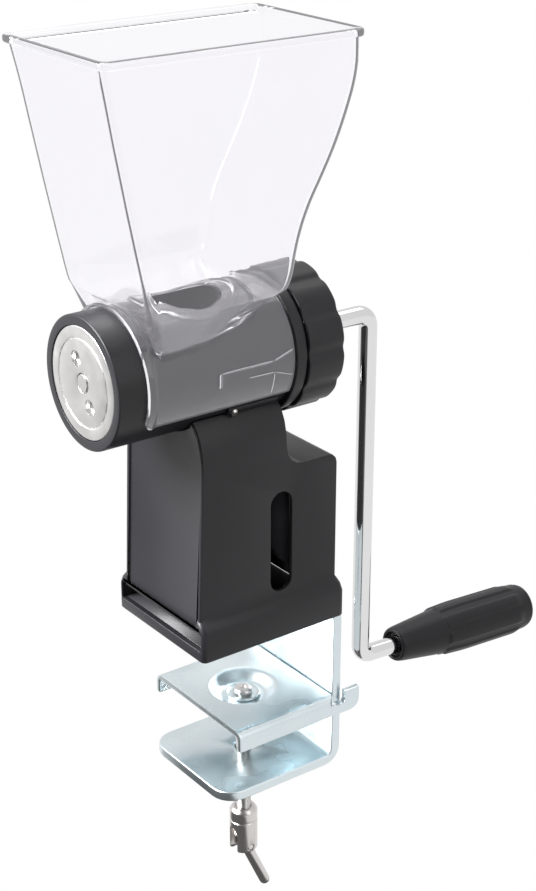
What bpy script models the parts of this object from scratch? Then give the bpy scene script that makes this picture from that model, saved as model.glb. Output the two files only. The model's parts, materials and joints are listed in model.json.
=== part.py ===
"""Hand-cranked grain mill on a table clamp, as an assembly of separate parts.

Axes: +X is the side with the slot, -Y the front with the grinding head, +Z up. The origin is on
the underside of the foot, in the middle. Sizes are in millimetres and turned into metres by MM.
"""

import math

import bmesh
import bpy
from mathutils import Matrix, Vector

MM = 0.001
GAP = 0.3
TOP = 400.0

# Driving dimensions, in millimetres.
AXIS_Z = 142.5
HOUSING_RADIUS = 32.2
HEAD_FRONT = -82.2
HOUSING_BACK = 14.4
COLLAR_BACK = 20.6
CHAMBER_RADIUS = 27.3
BARREL_RADIUS = 19.0
SLEEVE_BORE = 14.0
BOSS_RADIUS = 24.0
BOSS_BACK = 30.0

BODY_HALF = 33.0
BODY_WALL = 2.6
FOOT_HALF_X = 38.0
FOOT_HALF_Y = 43.4
FOOT_WALL = 2.7
NECK_BACK = 10.5
MOUTH_TOP = 15.4

RING_RADIUS = 36.4
RING_LOBES = 12
RING_FRONT = 21.0
RING_BACK = 42.4
VALLEY = 1.5
LOBE_START = math.radians(4.0)

RIM_Z = 295.3
HOPPER_WALL = 2.4
HOPPER_CORNER = 5.0
THROAT_FRONT = -60.2
THROAT_BACK = 4.0
THROAT_HALF = 30.4
THROAT_WIDEST_Y = -55.0
THROAT_REACH = 78.0
OUTLET = (16.5, 17.5)
OUTLET_Y = -26.0
SADDLE_BORE = 32.5
SADDLE_RADIUS = 33.5
SADDLE_EDGE_Z = 125.6
SADDLE_BACK = 14.0
LIP_RADIUS = 34.6
LIP_FRONT = -67.5

PLATE = 5.5
PLATE_HALF = 34.7
PLATE_BACK = 44.7
LOWER_TOP = -83.5
LOWER_FRONT = -29.0
BRACKET_SCREWS = ((-26.0, -24.0), (26.0, -24.0), (-26.0, 24.0), (26.0, 24.0))

JAW_TOP = -47.0
JAW_SHEET = 3.0
JAW_HALF = 38.1
JAW_FLANGE_Z = -58.0
SCREW_Y = 7.0
SCREW_RADIUS = 4.0
NUT_ACROSS = 13.0
NUT_HEIGHT = 6.4
BARREL_TOP = -121.0
BARREL_BOTTOM = -148.3
TOMMY_Z = -144.4
TOMMY_TILT = math.radians(24.4)

ROD_RADIUS = 4.8
CRANK_REACH = 86.1
CRANK_DROP = 198.5
BEND_RADIUS = 7.0
GRIP_SLOPE = math.radians(3.4)
GRIP_LENGTH = 112.0
SHAFT_RADIUS = 8.0
SHAFT_BACK = 41.0


# Scene, materials and helpers

def clear_scene():
    for item in list(bpy.data.objects):
        bpy.data.objects.remove(item, do_unlink=True)


def new_collection(name):
    collection = bpy.data.collections.new(name)
    bpy.context.scene.collection.children.link(collection)
    return collection


def material(name, colour, roughness, metallic=0.0, transmission=0.0):
    made = bpy.data.materials.new(name)
    made.use_nodes = True
    shader = made.node_tree.nodes["Principled BSDF"]
    shader.inputs["Base Color"].default_value = (*colour, 1.0)
    shader.inputs["Roughness"].default_value = roughness
    shader.inputs["Metallic"].default_value = metallic
    shader.inputs["Transmission Weight"].default_value = transmission
    made.diffuse_color = (*colour, 1.0)
    return made


clear_scene()
PARTS = new_collection("grain_mill")
CUTTERS = new_collection("cutters")
CUTTERS.hide_render = True

BLACK = material("black_plastic", (0.02, 0.02, 0.022), 0.35)
CLEAR = material("clear_plastic", (0.93, 0.93, 0.95), 0.05, transmission=1.0)
STEEL = material("brushed_steel", (0.78, 0.77, 0.75), 0.3, 1.0)
BURR = material("burr_steel", (0.45, 0.45, 0.46), 0.45, 1.0)
CHROME = material("chrome_rod", (0.83, 0.83, 0.84), 0.12, 1.0)
ZINC = material("zinc_plate", (0.74, 0.79, 0.83), 0.32, 1.0)
BRONZE = material("bronze", (0.62, 0.42, 0.20), 0.4, 1.0)
RUBBER = material("seal_rubber", (0.03, 0.03, 0.03), 0.8)
AUGER = material("auger_plastic", (0.70, 0.70, 0.68), 0.5)


def place(name, bm, finish=None):
    """Turns a bmesh in millimetres into an object. One with no finish is a cutter."""
    bmesh.ops.remove_doubles(bm, verts=bm.verts, dist=1e-4)
    bmesh.ops.recalc_face_normals(bm, faces=bm.faces)
    bmesh.ops.scale(bm, vec=(MM, MM, MM), verts=bm.verts)
    mesh = bpy.data.meshes.new(name)
    bm.to_mesh(mesh)
    bm.free()
    item = bpy.data.objects.new(name, mesh)
    if finish is None:
        CUTTERS.objects.link(item)
        item.hide_render = True
        item.display_type = "WIRE"
    else:
        PARTS.objects.link(item)
        mesh.materials.append(finish)
        mesh.shade_smooth()
        mesh.set_sharp_from_angle(angle=math.radians(35))
    return item


def boolean(target, tool, operation="DIFFERENCE"):
    step = target.modifiers.new(operation.lower() + "_" + tool.name, "BOOLEAN")
    step.operation = operation
    step.object = tool
    step.solver = "EXACT"
    return target


def arc(centre, radius, start, end, steps):
    """Points along an arc of a circle, both ends included; angles in degrees."""
    angles = [math.radians(start + (end - start) * i / steps) for i in range(steps + 1)]
    return [(centre[0] + radius * math.cos(a), centre[1] + radius * math.sin(a)) for a in angles]


def box(name, low, high, finish=None):
    bm = bmesh.new()
    size = [b - a for a, b in zip(low, high)]
    middle = [(a + b) / 2 for a, b in zip(low, high)]
    matrix = Matrix.Translation(middle) @ Matrix.Diagonal((*size, 1.0))
    bmesh.ops.create_cube(bm, size=1.0, matrix=matrix)
    return place(name, bm, finish)


TURNS = {"X": Matrix.Rotation(math.pi / 2, 4, "Y"), "Y": Matrix.Rotation(-math.pi / 2, 4, "X"),
         "Z": Matrix.Identity(4)}


def add_rod(bm, axis, centre, start, end, radius, end_radius=None, sides=32):
    """Adds a cylinder, or a cone, between two places along an axis; centre gives the other two."""
    along = (start + end) / 2
    spot = {"X": (along, *centre), "Y": (centre[0], along, centre[1]), "Z": (*centre, along)}[axis]
    bmesh.ops.create_cone(bm, cap_ends=True, segments=sides, radius1=radius,
                          radius2=radius if end_radius is None else end_radius,
                          depth=end - start, matrix=Matrix.Translation(spot) @ TURNS[axis])


def rod(name, axis, centre, start, end, radius, finish=None, sides=32, end_radius=None):
    bm = bmesh.new()
    add_rod(bm, axis, centre, start, end, radius, end_radius, sides)
    return place(name, bm, finish)


def prism(name, outline, axis, start, end, finish=None):
    """Extrudes an outline along an axis. It is (y, z) for X, (x, z) for Y and (x, y) for Z."""
    spots = {"X": lambda u, v: (start, u, v), "Y": lambda u, v: (u, start, v),
             "Z": lambda u, v: (u, v, start)}[axis]
    step = Vector([(end - start) * (axis == letter) for letter in "XYZ"])
    bm = bmesh.new()
    face = bm.faces.new([bm.verts.new(spots(u, v)) for u, v in outline])
    made = bmesh.ops.extrude_face_region(bm, geom=[face])
    moved = [part for part in made["geom"] if isinstance(part, bmesh.types.BMVert)]
    bmesh.ops.translate(bm, vec=step, verts=moved)
    return place(name, bm, finish)


def loft(name, sections, finish=None):
    """Joins rings of points, one above the other, and closes both ends."""
    bm = bmesh.new()
    rings = [[bm.verts.new(point) for point in section] for section in sections]
    count = len(rings[0])
    for low, high in zip(rings, rings[1:]):
        for i in range(count):
            j = (i + 1) % count
            bm.faces.new((low[i], low[j], high[j], high[i]))
    bm.faces.new(rings[0])
    bm.faces.new(rings[-1])
    return place(name, bm, finish)


def rounded_section(half_x, low_y, high_y, radius, z, steps=4):
    corners = ((half_x - radius, high_y - radius, 0), (-half_x + radius, high_y - radius, 90),
               (-half_x + radius, low_y + radius, 180), (half_x - radius, low_y + radius, 270))
    return [(x, y, z) for cx, cy, turn in corners
            for x, y in arc((cx, cy), radius, turn, turn + 90, steps)]


def turned(name, profile, finish=None, sides=40, closed=False, axis="Y", origin=(0.0, 0.0, 0.0)):
    """Turns a profile of (radius, height) points with Screw. The height runs along the axis."""
    bm = bmesh.new()
    points = [bm.verts.new((r * MM, 0.0, h * MM)) for r, h in profile]
    for a, b in zip(points, points[1:]):
        bm.edges.new((a, b))
    if closed:
        bm.edges.new((points[-1], points[0]))
    mesh = bpy.data.meshes.new(name)
    bm.to_mesh(mesh)
    bm.free()
    item = bpy.data.objects.new(name, mesh)
    item.location = Vector(origin) * MM
    item.rotation_euler = TURNS[axis].to_euler()
    step = item.modifiers.new("turn", "SCREW")
    step.steps = sides
    step.render_steps = sides
    step.use_merge_vertices = True
    step.merge_threshold = 1e-5
    step.use_smooth_shade = True
    if finish is None:
        CUTTERS.objects.link(item)
        item.hide_render = True
        item.display_type = "WIRE"
    else:
        PARTS.objects.link(item)
        mesh.materials.append(finish)
    return item


def on_axis(y=0.0):
    """A place on the mill's axis."""
    return (0.0, y, AXIS_Z)


def ring_profile(inner, outer, low, high):
    """A plain ring's closed profile, down its outer side."""
    return [(outer, high), (outer, low), (inner, low), (inner, high)]


# The stand: foot, body and neck in one shell

def shoulder_outline(half, top_half, side_top):
    """The body seen from the front: straight sides, and shoulders that curve in to the head."""
    left = [(-x, z) for x, z in reversed(shoulder(half, top_half, side_top))]
    return [(half, 5.0)] + shoulder(half, top_half, side_top) + left + [(-half, 5.0)]


def shoulder(half, top_half, side_top):
    rise = 24.0
    steps = 5
    turn = [math.pi / 2 * i / steps for i in range(steps + 1)]
    return [(half - (half - top_half) * (1 - math.cos(a)), side_top + rise * math.sin(a))
            for a in turn]


def side_outline(inset, low):
    """The body seen from the right: leaning front, upright neck, and the box behind it."""
    fillet = arc((20.5, 98.5), 10.0 + inset, 180, 270, 4)
    corner = arc((36.0, 83.5), 5.0 - 0.6 * inset, 90, 0, 3)
    front = [(-38.7 + inset, 127.0), (-38.7 + inset, 100.0), (-42.3 + inset, low)]
    return front + [(41.0 - inset, low)] + corner[::-1] + fillet[::-1] + [(NECK_BACK - inset, 127.0)]


def make_stand():
    stand = prism("stand", side_outline(0.0, 8.0), "X", -40.0, 40.0, BLACK)
    boolean(stand, prism("body_front", shoulder_outline(BODY_HALF, 21.0, 98.0), "Y", -60.0, 60.0),
            "INTERSECT")
    foot_levels = ((0.0, 0.0), (14.0, 0.0), (17.5, 1.2), (20.0, 3.2), (21.5, 5.4))
    foot = loft("foot_block", [rounded_section(FOOT_HALF_X - inset, -FOOT_HALF_Y + 0.3 * inset,
                                               FOOT_HALF_Y - 0.45 * inset, 3.0, z)
                               for z, inset in foot_levels])
    boolean(stand, foot, "UNION")

    hollow = prism("body_hollow", side_outline(BODY_WALL, 10.0), "X", -39.0, 39.0)
    inner = shoulder_outline(BODY_HALF - BODY_WALL, 19.0, 96.0)
    boolean(hollow, prism("hollow_front", inner, "Y", -58.0, 58.0), "INTERSECT")
    boolean(hollow, rod("saddle_wall", "Y", (0.0, AXIS_Z), -60.0, 60.0, HOUSING_RADIUS + 3.3,
                        sides=48))
    boolean(stand, hollow)
    well = rounded_section(FOOT_HALF_X - FOOT_WALL, -FOOT_HALF_Y + 3.0, FOOT_HALF_Y - 3.0, 1.5, -1.0)
    well_top = [(x, y, 13.0) for x, y, _ in well]
    boolean(stand, loft("foot_well", [well, well_top]))
    boolean(stand, rod("head_seat", "Y", (0.0, AXIS_Z), -60.0, 60.0, HOUSING_RADIUS + GAP, sides=48))
    boolean(stand, box("mouth", (-35.3, -50.0, PLATE + GAP), (35.3, -37.0, MOUTH_TOP)))
    boolean(stand, box("bend_notch", (-35.2, 34.0, -1.0), (35.2, 50.0, PLATE + 2 * GAP)))

    panel = prism("panel_recess", [(-60.0, 15.6), (-41.2, 15.6), (-37.5, 100.0), (-37.5, 118.0),
                                   (-60.0, 118.0)], "X", -40.0, 40.0)
    boolean(panel, prism("panel_front", shoulder_outline(BODY_HALF - 2.3, 18.5, 96.5), "Y",
                         -70.0, 0.0), "INTERSECT")
    boolean(stand, panel)

    slot = arc((7.0, 70.0), 6.3, 0, 180, 8) + arc((7.0, 29.0), 6.3, 180, 360, 8)
    boolean(stand, prism("side_slot", slot, "X", -45.0, 45.0))

    bosses = bmesh.new()
    holes = bmesh.new()
    for x, y in BRACKET_SCREWS:
        add_rod(bosses, "Z", (x, y), PLATE + GAP, 24.0, 5.6, sides=16)
        add_rod(holes, "Z", (x, y), 0.0, 18.0, 2.5 + GAP, sides=16)
    boolean(stand, place("screw_bosses", bosses), "UNION")
    for y in (-28.0, 0.0):
        add_rod(holes, "Z", (0.0, y), 90.0, 120.0, 2.0 + GAP, sides=16)
    boolean(stand, place("screw_holes", holes))


def make_stand_screws():
    """Four countersunk screws hold the clamp plate, and two hold the grinding housing."""
    profile = [(0, 16.0), (2.5, 16.0), (2.5, 2.7), (5.0, 0.2), (0, 0.2)]
    for number, (x, y) in enumerate(BRACKET_SCREWS, start=1):
        turned(f"bracket_screw_{number}", profile, STEEL, 16, axis="Z", origin=(x, y, 0.0))
    for name, y in (("housing_screw_front", -28.0), ("housing_screw_rear", 0.0)):
        head = AXIS_Z - HOUSING_RADIUS - 3.3 - GAP
        profile = [(0, 4.0 + 3.6), (2.0, 4.0 + 3.6), (2.0, 0), (3.8, 0), (3.5, -2.4), (0, -2.4)]
        turned(name, profile, STEEL, 16, axis="Z", origin=(0.0, y, head))


# The grinding head

def make_housing():
    bore = [(BOSS_RADIUS, BOSS_BACK), (BOSS_RADIUS, 28.6), (22.0, 28.6), (22.0, 26.8),
            (BOSS_RADIUS, 26.8), (BOSS_RADIUS, COLLAR_BACK), (35.0, COLLAR_BACK),
            (35.0, HOUSING_BACK), (HOUSING_RADIUS, HOUSING_BACK), (HOUSING_RADIUS, HEAD_FRONT + 0.8),
            (HOUSING_RADIUS - 0.8, HEAD_FRONT), (CHAMBER_RADIUS, HEAD_FRONT),
            (CHAMBER_RADIUS, -60.5), (BARREL_RADIUS, -60.5), (BARREL_RADIUS, -4.0),
            (SLEEVE_BORE, -4.0), (SLEEVE_BORE, BOSS_BACK)]
    housing = turned("grinding_housing", bore, BLACK, 48, closed=True, origin=on_axis())
    inlet = [(15.0 * math.cos(a), -26.0 + 16.0 * math.sin(a))
             for a in (2 * math.pi * i / 24 for i in range(24))]
    boolean(housing, prism("grain_inlet", inlet, "Z", AXIS_Z + 5.0, AXIS_Z + 40.0))
    boolean(housing, box("flour_outlet", (-9.5, -77.0, AXIS_Z - 40.0), (9.5, -61.5, AXIS_Z - 20.0)))
    seats = bmesh.new()
    for side in (-1, 1):
        turn = Matrix.Translation((0, 0, AXIS_Z)) @ Matrix.Rotation(side * math.radians(37), 4, "Y")
        middle = turn @ Matrix.Translation((side * 32.2, -6.0, 0))
        middle = middle @ Matrix.Diagonal((3.4, 28.0, 4.0, 1))
        bmesh.ops.create_cube(seats, size=1.0, matrix=middle)
    boolean(housing, place("saddle_seats", seats), "UNION")
    holes = bmesh.new()
    for y in (-28.0, 0.0):
        add_rod(holes, "Z", (0.0, y), AXIS_Z - 40.0, AXIS_Z - HOUSING_RADIUS + 5.0, 2.0 + GAP, sides=16)
    add_rod(holes, "Z", (0.0, 9.0), AXIS_Z + 10.0, AXIS_Z + 40.0, 2.0 + GAP, sides=16)
    boolean(housing, place("housing_holes", holes))
    boolean(housing, latch_screw_tool())


def latch_matrix(side):
    """The place of a saddle screw: on the seat, pointing outwards."""
    lean = Matrix.Rotation(side * math.radians(37), 4, "Y")
    out = Matrix.Rotation(side * math.pi / 2, 4, "Y")
    return Matrix.Translation((0, -17.0, AXIS_Z)) @ lean @ Matrix.Translation((side * 33.9, 0, 0)) @ out


def latch_screw_tool():
    bm = bmesh.new()
    for side in (-1, 1):
        bmesh.ops.create_cone(bm, cap_ends=True, segments=12, radius1=1.3, radius2=1.3, depth=11.0,
                              matrix=latch_matrix(side))
    return place("latch_screw_holes", bm)


def make_latch_screws():
    for name, side in (("saddle_screw_right", 1), ("saddle_screw_left", -1)):
        bm = bmesh.new()
        bmesh.ops.create_cone(bm, cap_ends=True, segments=12, radius1=1.0, radius2=1.0, depth=5.0,
                              matrix=latch_matrix(side) @ Matrix.Translation((0, 0, -1.6)))
        screw = place(name, bm, STEEL)
        head = bmesh.new()
        bmesh.ops.create_cone(head, cap_ends=True, segments=12, radius1=1.9, radius2=1.5, depth=1.2,
                              matrix=latch_matrix(side) @ Matrix.Translation((0, 0, 0.9)))
        boolean(screw, place(name + "_head", head), "UNION")


def tooth_slots(name, inner, outer, low, high, count, width, skew):
    """Slots across a burr's face, each turned from the radius by the same skew."""
    bm = bmesh.new()
    for i in range(count):
        angle = 2 * math.pi * i / count
        turn = Matrix.Translation(on_axis()) @ Matrix.Rotation(angle, 4, "Y")
        middle = Matrix.Translation(((inner + outer) / 2, (low + high) / 2, 0))
        slot = middle @ Matrix.Rotation(skew, 4, "Y")
        size = Matrix.Diagonal((outer - inner, high - low, width, 1))
        bmesh.ops.create_cube(bm, size=1.0, matrix=turn @ slot @ size)
    return place(name, bm)


def make_head_parts():
    front = HEAD_FRONT
    disc = [(27.0, front + 4.0), (27.0, front), (21.6, front), (21.6, front + 0.5),
            (21.0, front + 0.5), (21.0, front), (4.8, front), (4.8, front + 4.0)]
    plate = turned("end_disc", disc, STEEL, 48, closed=True, origin=on_axis())
    holes = bmesh.new()
    for side in (-1, 1):
        add_rod(holes, "Y", (side * 5.3, AXIS_Z - side * 10.5), front - 2.0, front + 2.5, 3.75, sides=16)
    boolean(plate, place("spanner_holes", holes))

    fixed = turned("fixed_burr", ring_profile(9.0, 26.9, -77.9, -71.6), BURR, 48, closed=True,
                   origin=on_axis())
    boolean(fixed, tooth_slots("fixed_teeth", 11.0, 30.0, -73.2, -70.0, 16, 2.4, 0.35))
    moving = turned("rotating_burr", ring_profile(6.3, 25.6, -71.2, -65.0), BURR, 48, closed=True,
                    origin=on_axis())
    boolean(moving, tooth_slots("moving_teeth", 9.0, 30.0, -73.0, -69.6, 16, 2.4, -0.35))
    key_way = box("burr_key_way", (-1.8, -68.6, AXIS_Z + 3.0), (1.8, -63.0, AXIS_Z + 8.0))
    boolean(moving, key_way)
    box("burr_key", (-1.5, -68.3, AXIS_Z + 4.3), (1.5, -62.0, AXIS_Z + 7.6), STEEL)

    turned("shaft_seal", ring_profile(6.5, 13.6, -3.6, -1.0), RUBBER, 32, closed=True, origin=on_axis())
    turned("rear_bush", ring_profile(SHAFT_RADIUS + GAP, 10.6, 24.0, 37.6), BRONZE, 32, closed=True,
           origin=on_axis())


def make_auger():
    """A core with one helical flight, keyed on the shaft."""
    core = [(9.0, -7.0), (9.0, -62.4), (6.3, -62.4), (6.3, -7.0)]
    auger = turned("auger", core, AUGER, 32, closed=True, origin=on_axis())
    turns, steps, pitch, thick = 2.0, 24, 22.0, 2.6
    bm = bmesh.new()
    rings = []
    for i in range(int(turns * steps) + 1):
        angle = 2 * math.pi * i / steps
        along = -58.0 + pitch * i / steps
        c, s = math.cos(angle), math.sin(angle)
        rings.append([bm.verts.new((r * c, along + t, AXIS_Z + r * s))
                      for r, t in ((8.0, 0), (18.5, 0), (18.5, thick), (8.0, thick))])
    for a, b in zip(rings, rings[1:]):
        for i in range(4):
            j = (i + 1) % 4
            bm.faces.new((a[i], a[j], b[j], b[i]))
    bm.faces.new(rings[0])
    bm.faces.new(rings[-1])
    boolean(auger, place("auger_flight", bm), "UNION")
    boolean(auger, box("auger_key_way", (-1.8, -66.0, AXIS_Z + 3.0), (1.8, -60.0, AXIS_Z + 8.0)))


def make_shaft():
    profile = [(0, SHAFT_BACK), (SHAFT_RADIUS, SHAFT_BACK), (SHAFT_RADIUS, 39.8), (7.0, 39.8),
               (7.0, 38.1), (SHAFT_RADIUS, 38.1), (SHAFT_RADIUS, 3.4), (11.0, 3.4), (11.0, 0.0),
               (6.0, 0.0), (6.0, -71.0), (4.4, -71.0), (4.4, HEAD_FRONT + 0.6), (4.0, HEAD_FRONT),
               (0, HEAD_FRONT)]
    shaft = turned("drive_shaft", profile, STEEL, 32, origin=on_axis())
    boolean(shaft, rod("crank_socket", "Y", (0.0, AXIS_Z), 18.0, 50.0, ROD_RADIUS + GAP, sides=24))
    boolean(shaft, box("shaft_key_way", (-1.8, -68.6, AXIS_Z + 4.0), (1.8, -61.7, AXIS_Z + 9.0)))
    set_screw = (0.0, 21.0)
    boolean(shaft, rod("set_screw_hole", "Z", set_screw, AXIS_Z + 2.0, AXIS_Z + 12.0, 1.5 + GAP,
                       sides=12))
    rod("crank_set_screw", "Z", set_screw, AXIS_Z + ROD_RADIUS + 0.2, AXIS_Z + 7.8, 1.5, STEEL, 12)
    turned("shaft_clip", ring_profile(7.3, 11.0, 38.3, 39.5), STEEL, 32, closed=True,
           origin=on_axis())


def make_sleeve():
    """It doesn't turn: the ring's thread moves it along the axis, and the shaft with it."""
    profile = [(13.6, 37.8), (13.6, 4.0), (SHAFT_RADIUS + GAP, 4.0), (SHAFT_RADIUS + GAP, 23.7),
               (10.9, 23.7), (10.9, 37.8)]
    sleeve = turned("thrust_sleeve", profile, STEEL, 40, closed=True, origin=on_axis())
    boolean(sleeve, box("sleeve_key_way", (-2.4, 3.0, AXIS_Z + 11.4), (2.4, 13.2, AXIS_Z + 15.0)))
    rod("sleeve_guide_screw", "Z", (0.0, 9.0), AXIS_Z + 11.8, AXIS_Z + 24.0, 2.0, STEEL, 16)


def lobed_outline(radius, depth, lobes, steps):
    """A circle with shallow valleys between broad lobes."""
    points = []
    for i in range(lobes * steps):
        angle = 2 * math.pi * i / (lobes * steps)
        wave = (1 - math.cos(lobes * (angle - LOBE_START))) / 2
        r = radius - depth * (1 - wave ** 0.35)
        points.append((r * math.sin(angle), AXIS_Z + r * math.cos(angle)))
    return points


def make_ring():
    outline = lobed_outline(RING_RADIUS, VALLEY, RING_LOBES, 10)
    ring = prism("adjusting_ring", outline, "Y", RING_FRONT, RING_BACK, BLACK)
    inside = [(0, 50.0), (SLEEVE_BORE + 0.2, 50.0), (SLEEVE_BORE + 0.2, 31.0), (28.0, 31.0),
              (28.0, 26.2), (BOSS_RADIUS + 0.4, 26.2), (BOSS_RADIUS + 0.4, 15.0), (0, 15.0)]
    boolean(ring, turned("ring_inside", inside, sides=48, origin=on_axis()))
    turned("ring_clip", ring_profile(22.4, 27.0, 27.1, 28.3), STEEL, 40, closed=True,
           origin=on_axis())


# The hopper with its saddle

# Each level is a height, half the width, the front and the back.
HOPPER_LEVELS = ((RIM_Z, 43.4, -91.9, 46.4), (292.3, 43.4, -91.9, 46.4), (290.8, 40.3, -90.2, 45.9),
                 (278.0, 39.6, -87.4, 46.2), (270.0, 39.3, -85.8, 44.8), (260.0, 39.1, -83.9, 41.6),
                 (250.0, 39.0, -81.9, 37.6), (240.0, 38.9, -79.9, 32.9), (230.0, 38.8, -77.9, 27.4),
                 (219.0, 38.7, -75.6, 21.1), (210.0, 38.6, -73.7, 17.1), (202.0, 38.6, -72.0, 14.4),
                 (195.0, 38.5, -70.5, 12.7), (187.0, 38.4, -68.8, 11.2), (183.0, 38.2, -67.9, 10.0),
                 (180.0, 37.8, -67.2, 8.2), (178.4, 37.0, -66.5, 5.6))


def side_points(ring, count=8):
    """Adds points along the two long sides of a rounded section, which its corners leave bare."""
    made = []
    for a, b in zip(ring, ring[1:] + ring[:1]):
        made.append(a)
        if abs(b[1] - a[1]) > abs(b[0] - a[0]) + 10.0:
            made += [tuple(p + (q - p) * i / count for p, q in zip(a, b)) for i in range(1, count)]
    return made


def throat_point(x, y, wall, radius):
    """Where a point of the funnel's lowest section goes on the neck, at a radius from the axis."""
    _, half, front, back = HOPPER_LEVELS[-1]
    share = (y - front) / (back - front)
    place = THROAT_FRONT + wall + share * (THROAT_BACK - THROAT_FRONT - 2.0 * wall)
    past = max(0.0, place - THROAT_WIDEST_Y) / THROAT_REACH
    across = x / half * (THROAT_HALF * math.sqrt(1.0 - past * past) - wall)
    return (across, place, AXIS_Z + math.sqrt(radius * radius - across * across))


def hopper_sections(wall, radius):
    """Rounded sections down the funnel, inset by the wall, with the neck's last one on a cylinder."""
    sections = []
    for z, half, front, back in HOPPER_LEVELS:
        if wall and 286.0 < z < RIM_Z:
            continue
        level = z + 5.0 if z == RIM_Z and wall else z
        inset = wall + 3.0 if z == RIM_Z and wall else wall
        ring = rounded_section(half - inset, front + inset, back - inset, HOPPER_CORNER - wall, level)
        sections.append(side_points(ring))
    neck = rounded_section(*HOPPER_LEVELS[-1][1:], HOPPER_CORNER, 0.0)
    sections.append([throat_point(x, y, wall, radius) for x, y, _ in side_points(neck)])
    return sections[::-1]


def make_hopper():
    hopper = loft("hopper", hopper_sections(0.0, SADDLE_BORE + 0.4), CLEAR)
    saddle = rod("saddle", "Y", (0.0, AXIS_Z), LIP_FRONT, SADDLE_BACK, SADDLE_RADIUS, sides=64)
    boolean(saddle, rod("saddle_lip", "Y", (0.0, AXIS_Z), LIP_FRONT - 0.01, LIP_FRONT + 4.0,
                        LIP_RADIUS, sides=64), "UNION")
    boolean(saddle, box("saddle_edge", (-60.0, -90.0, 60.0), (60.0, 40.0, SADDLE_EDGE_Z)))
    boolean(hopper, saddle, "UNION")
    cavity = loft("cavity", hopper_sections(HOPPER_WALL, SADDLE_BORE - 1.0))
    boolean(cavity, rod("saddle_top", "Y", (0.0, AXIS_Z), -90.0, 50.0, SADDLE_RADIUS, sides=64))
    boolean(hopper, cavity)
    boolean(hopper, rod("saddle_bore", "Y", (0.0, AXIS_Z), -90.0, 50.0, SADDLE_BORE, sides=64))
    hole = [(OUTLET[0] * math.cos(a), OUTLET_Y + OUTLET[1] * math.sin(a))
            for a in (2 * math.pi * i / 24 for i in range(24))]
    boolean(hopper, prism("hopper_outlet", hole, "Z", AXIS_Z + 5.0, AXIS_Z + 45.0))


# The crank and its grip

def crank_path():
    """The rod's centre line in the plane x = 0, as (y, z)."""
    top = arc((CRANK_REACH - BEND_RADIUS, AXIS_Z - BEND_RADIUS), BEND_RADIUS, 90, 0, 6)
    slope = math.degrees(GRIP_SLOPE)
    low = (CRANK_REACH + BEND_RADIUS, AXIS_Z - CRANK_DROP + BEND_RADIUS)
    foot = arc(low, BEND_RADIUS, 180, 270 - slope, 6)
    end = along_grip(GRIP_LENGTH - 8.0)
    return [(18.6, AXIS_Z)] + top + foot + [end]


def along_grip(distance):
    """A point on the grip's axis, as (y, z), by its distance from the lower bend."""
    start = (CRANK_REACH + BEND_RADIUS, AXIS_Z - CRANK_DROP)
    return (start[0] + distance * math.cos(GRIP_SLOPE), start[1] - distance * math.sin(GRIP_SLOPE))


def make_crank():
    path = crank_path()
    curve = bpy.data.curves.new("crank_rod", "CURVE")
    curve.dimensions = "3D"
    curve.bevel_depth = ROD_RADIUS * MM
    curve.bevel_resolution = 4
    curve.use_fill_caps = True
    spline = curve.splines.new("POLY")
    spline.points.add(len(path) - 1)
    for point, (y, z) in zip(spline.points, path):
        point.co = (0.0, y * MM, z * MM, 1.0)
    rod_object = bpy.data.objects.new("crank_rod", curve)
    PARTS.objects.link(rod_object)
    curve.materials.append(CHROME)


def grip_piece(name, profile, finish, sides=32, closed=False):
    """A turned piece on the grip's axis; its heights are distances from the lower bend."""
    y, z = along_grip(0.0)
    item = turned(name, profile, finish, sides, closed, origin=(0.0, y, z))
    item.rotation_euler = (-math.pi / 2 - GRIP_SLOPE, 0.0, 0.0)
    return item


def make_grip():
    bore = ROD_RADIUS + GAP
    far = GRIP_LENGTH
    outside = [(14.5, far - 2.0), (14.6, far - 20.0), (14.0, 62.0), (13.6, 56.0), (13.3, 48.0),
               (9.8, 18.0), (9.3, 16.6), (bore, 16.6), (bore, far - 12.0), (9.0, far - 12.0),
               (9.0, far - 2.0)]
    grip_piece("grip", outside, BLACK, closed=True)
    grip_piece("grip_clip", ring_profile(bore - 0.1, 8.2, far - 11.6, far - 10.4), STEEL, 24, True)
    cap = [(0, far + 3.4), (6.0, far + 3.2), (11.0, far + 1.8), (13.6, far - 0.3), (13.9, far - 1.7),
           (8.6, far - 1.7), (8.6, far - 6.5), (0, far - 6.5)]
    grip_piece("grip_cap", cap, BLACK)


# The table clamp

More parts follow.
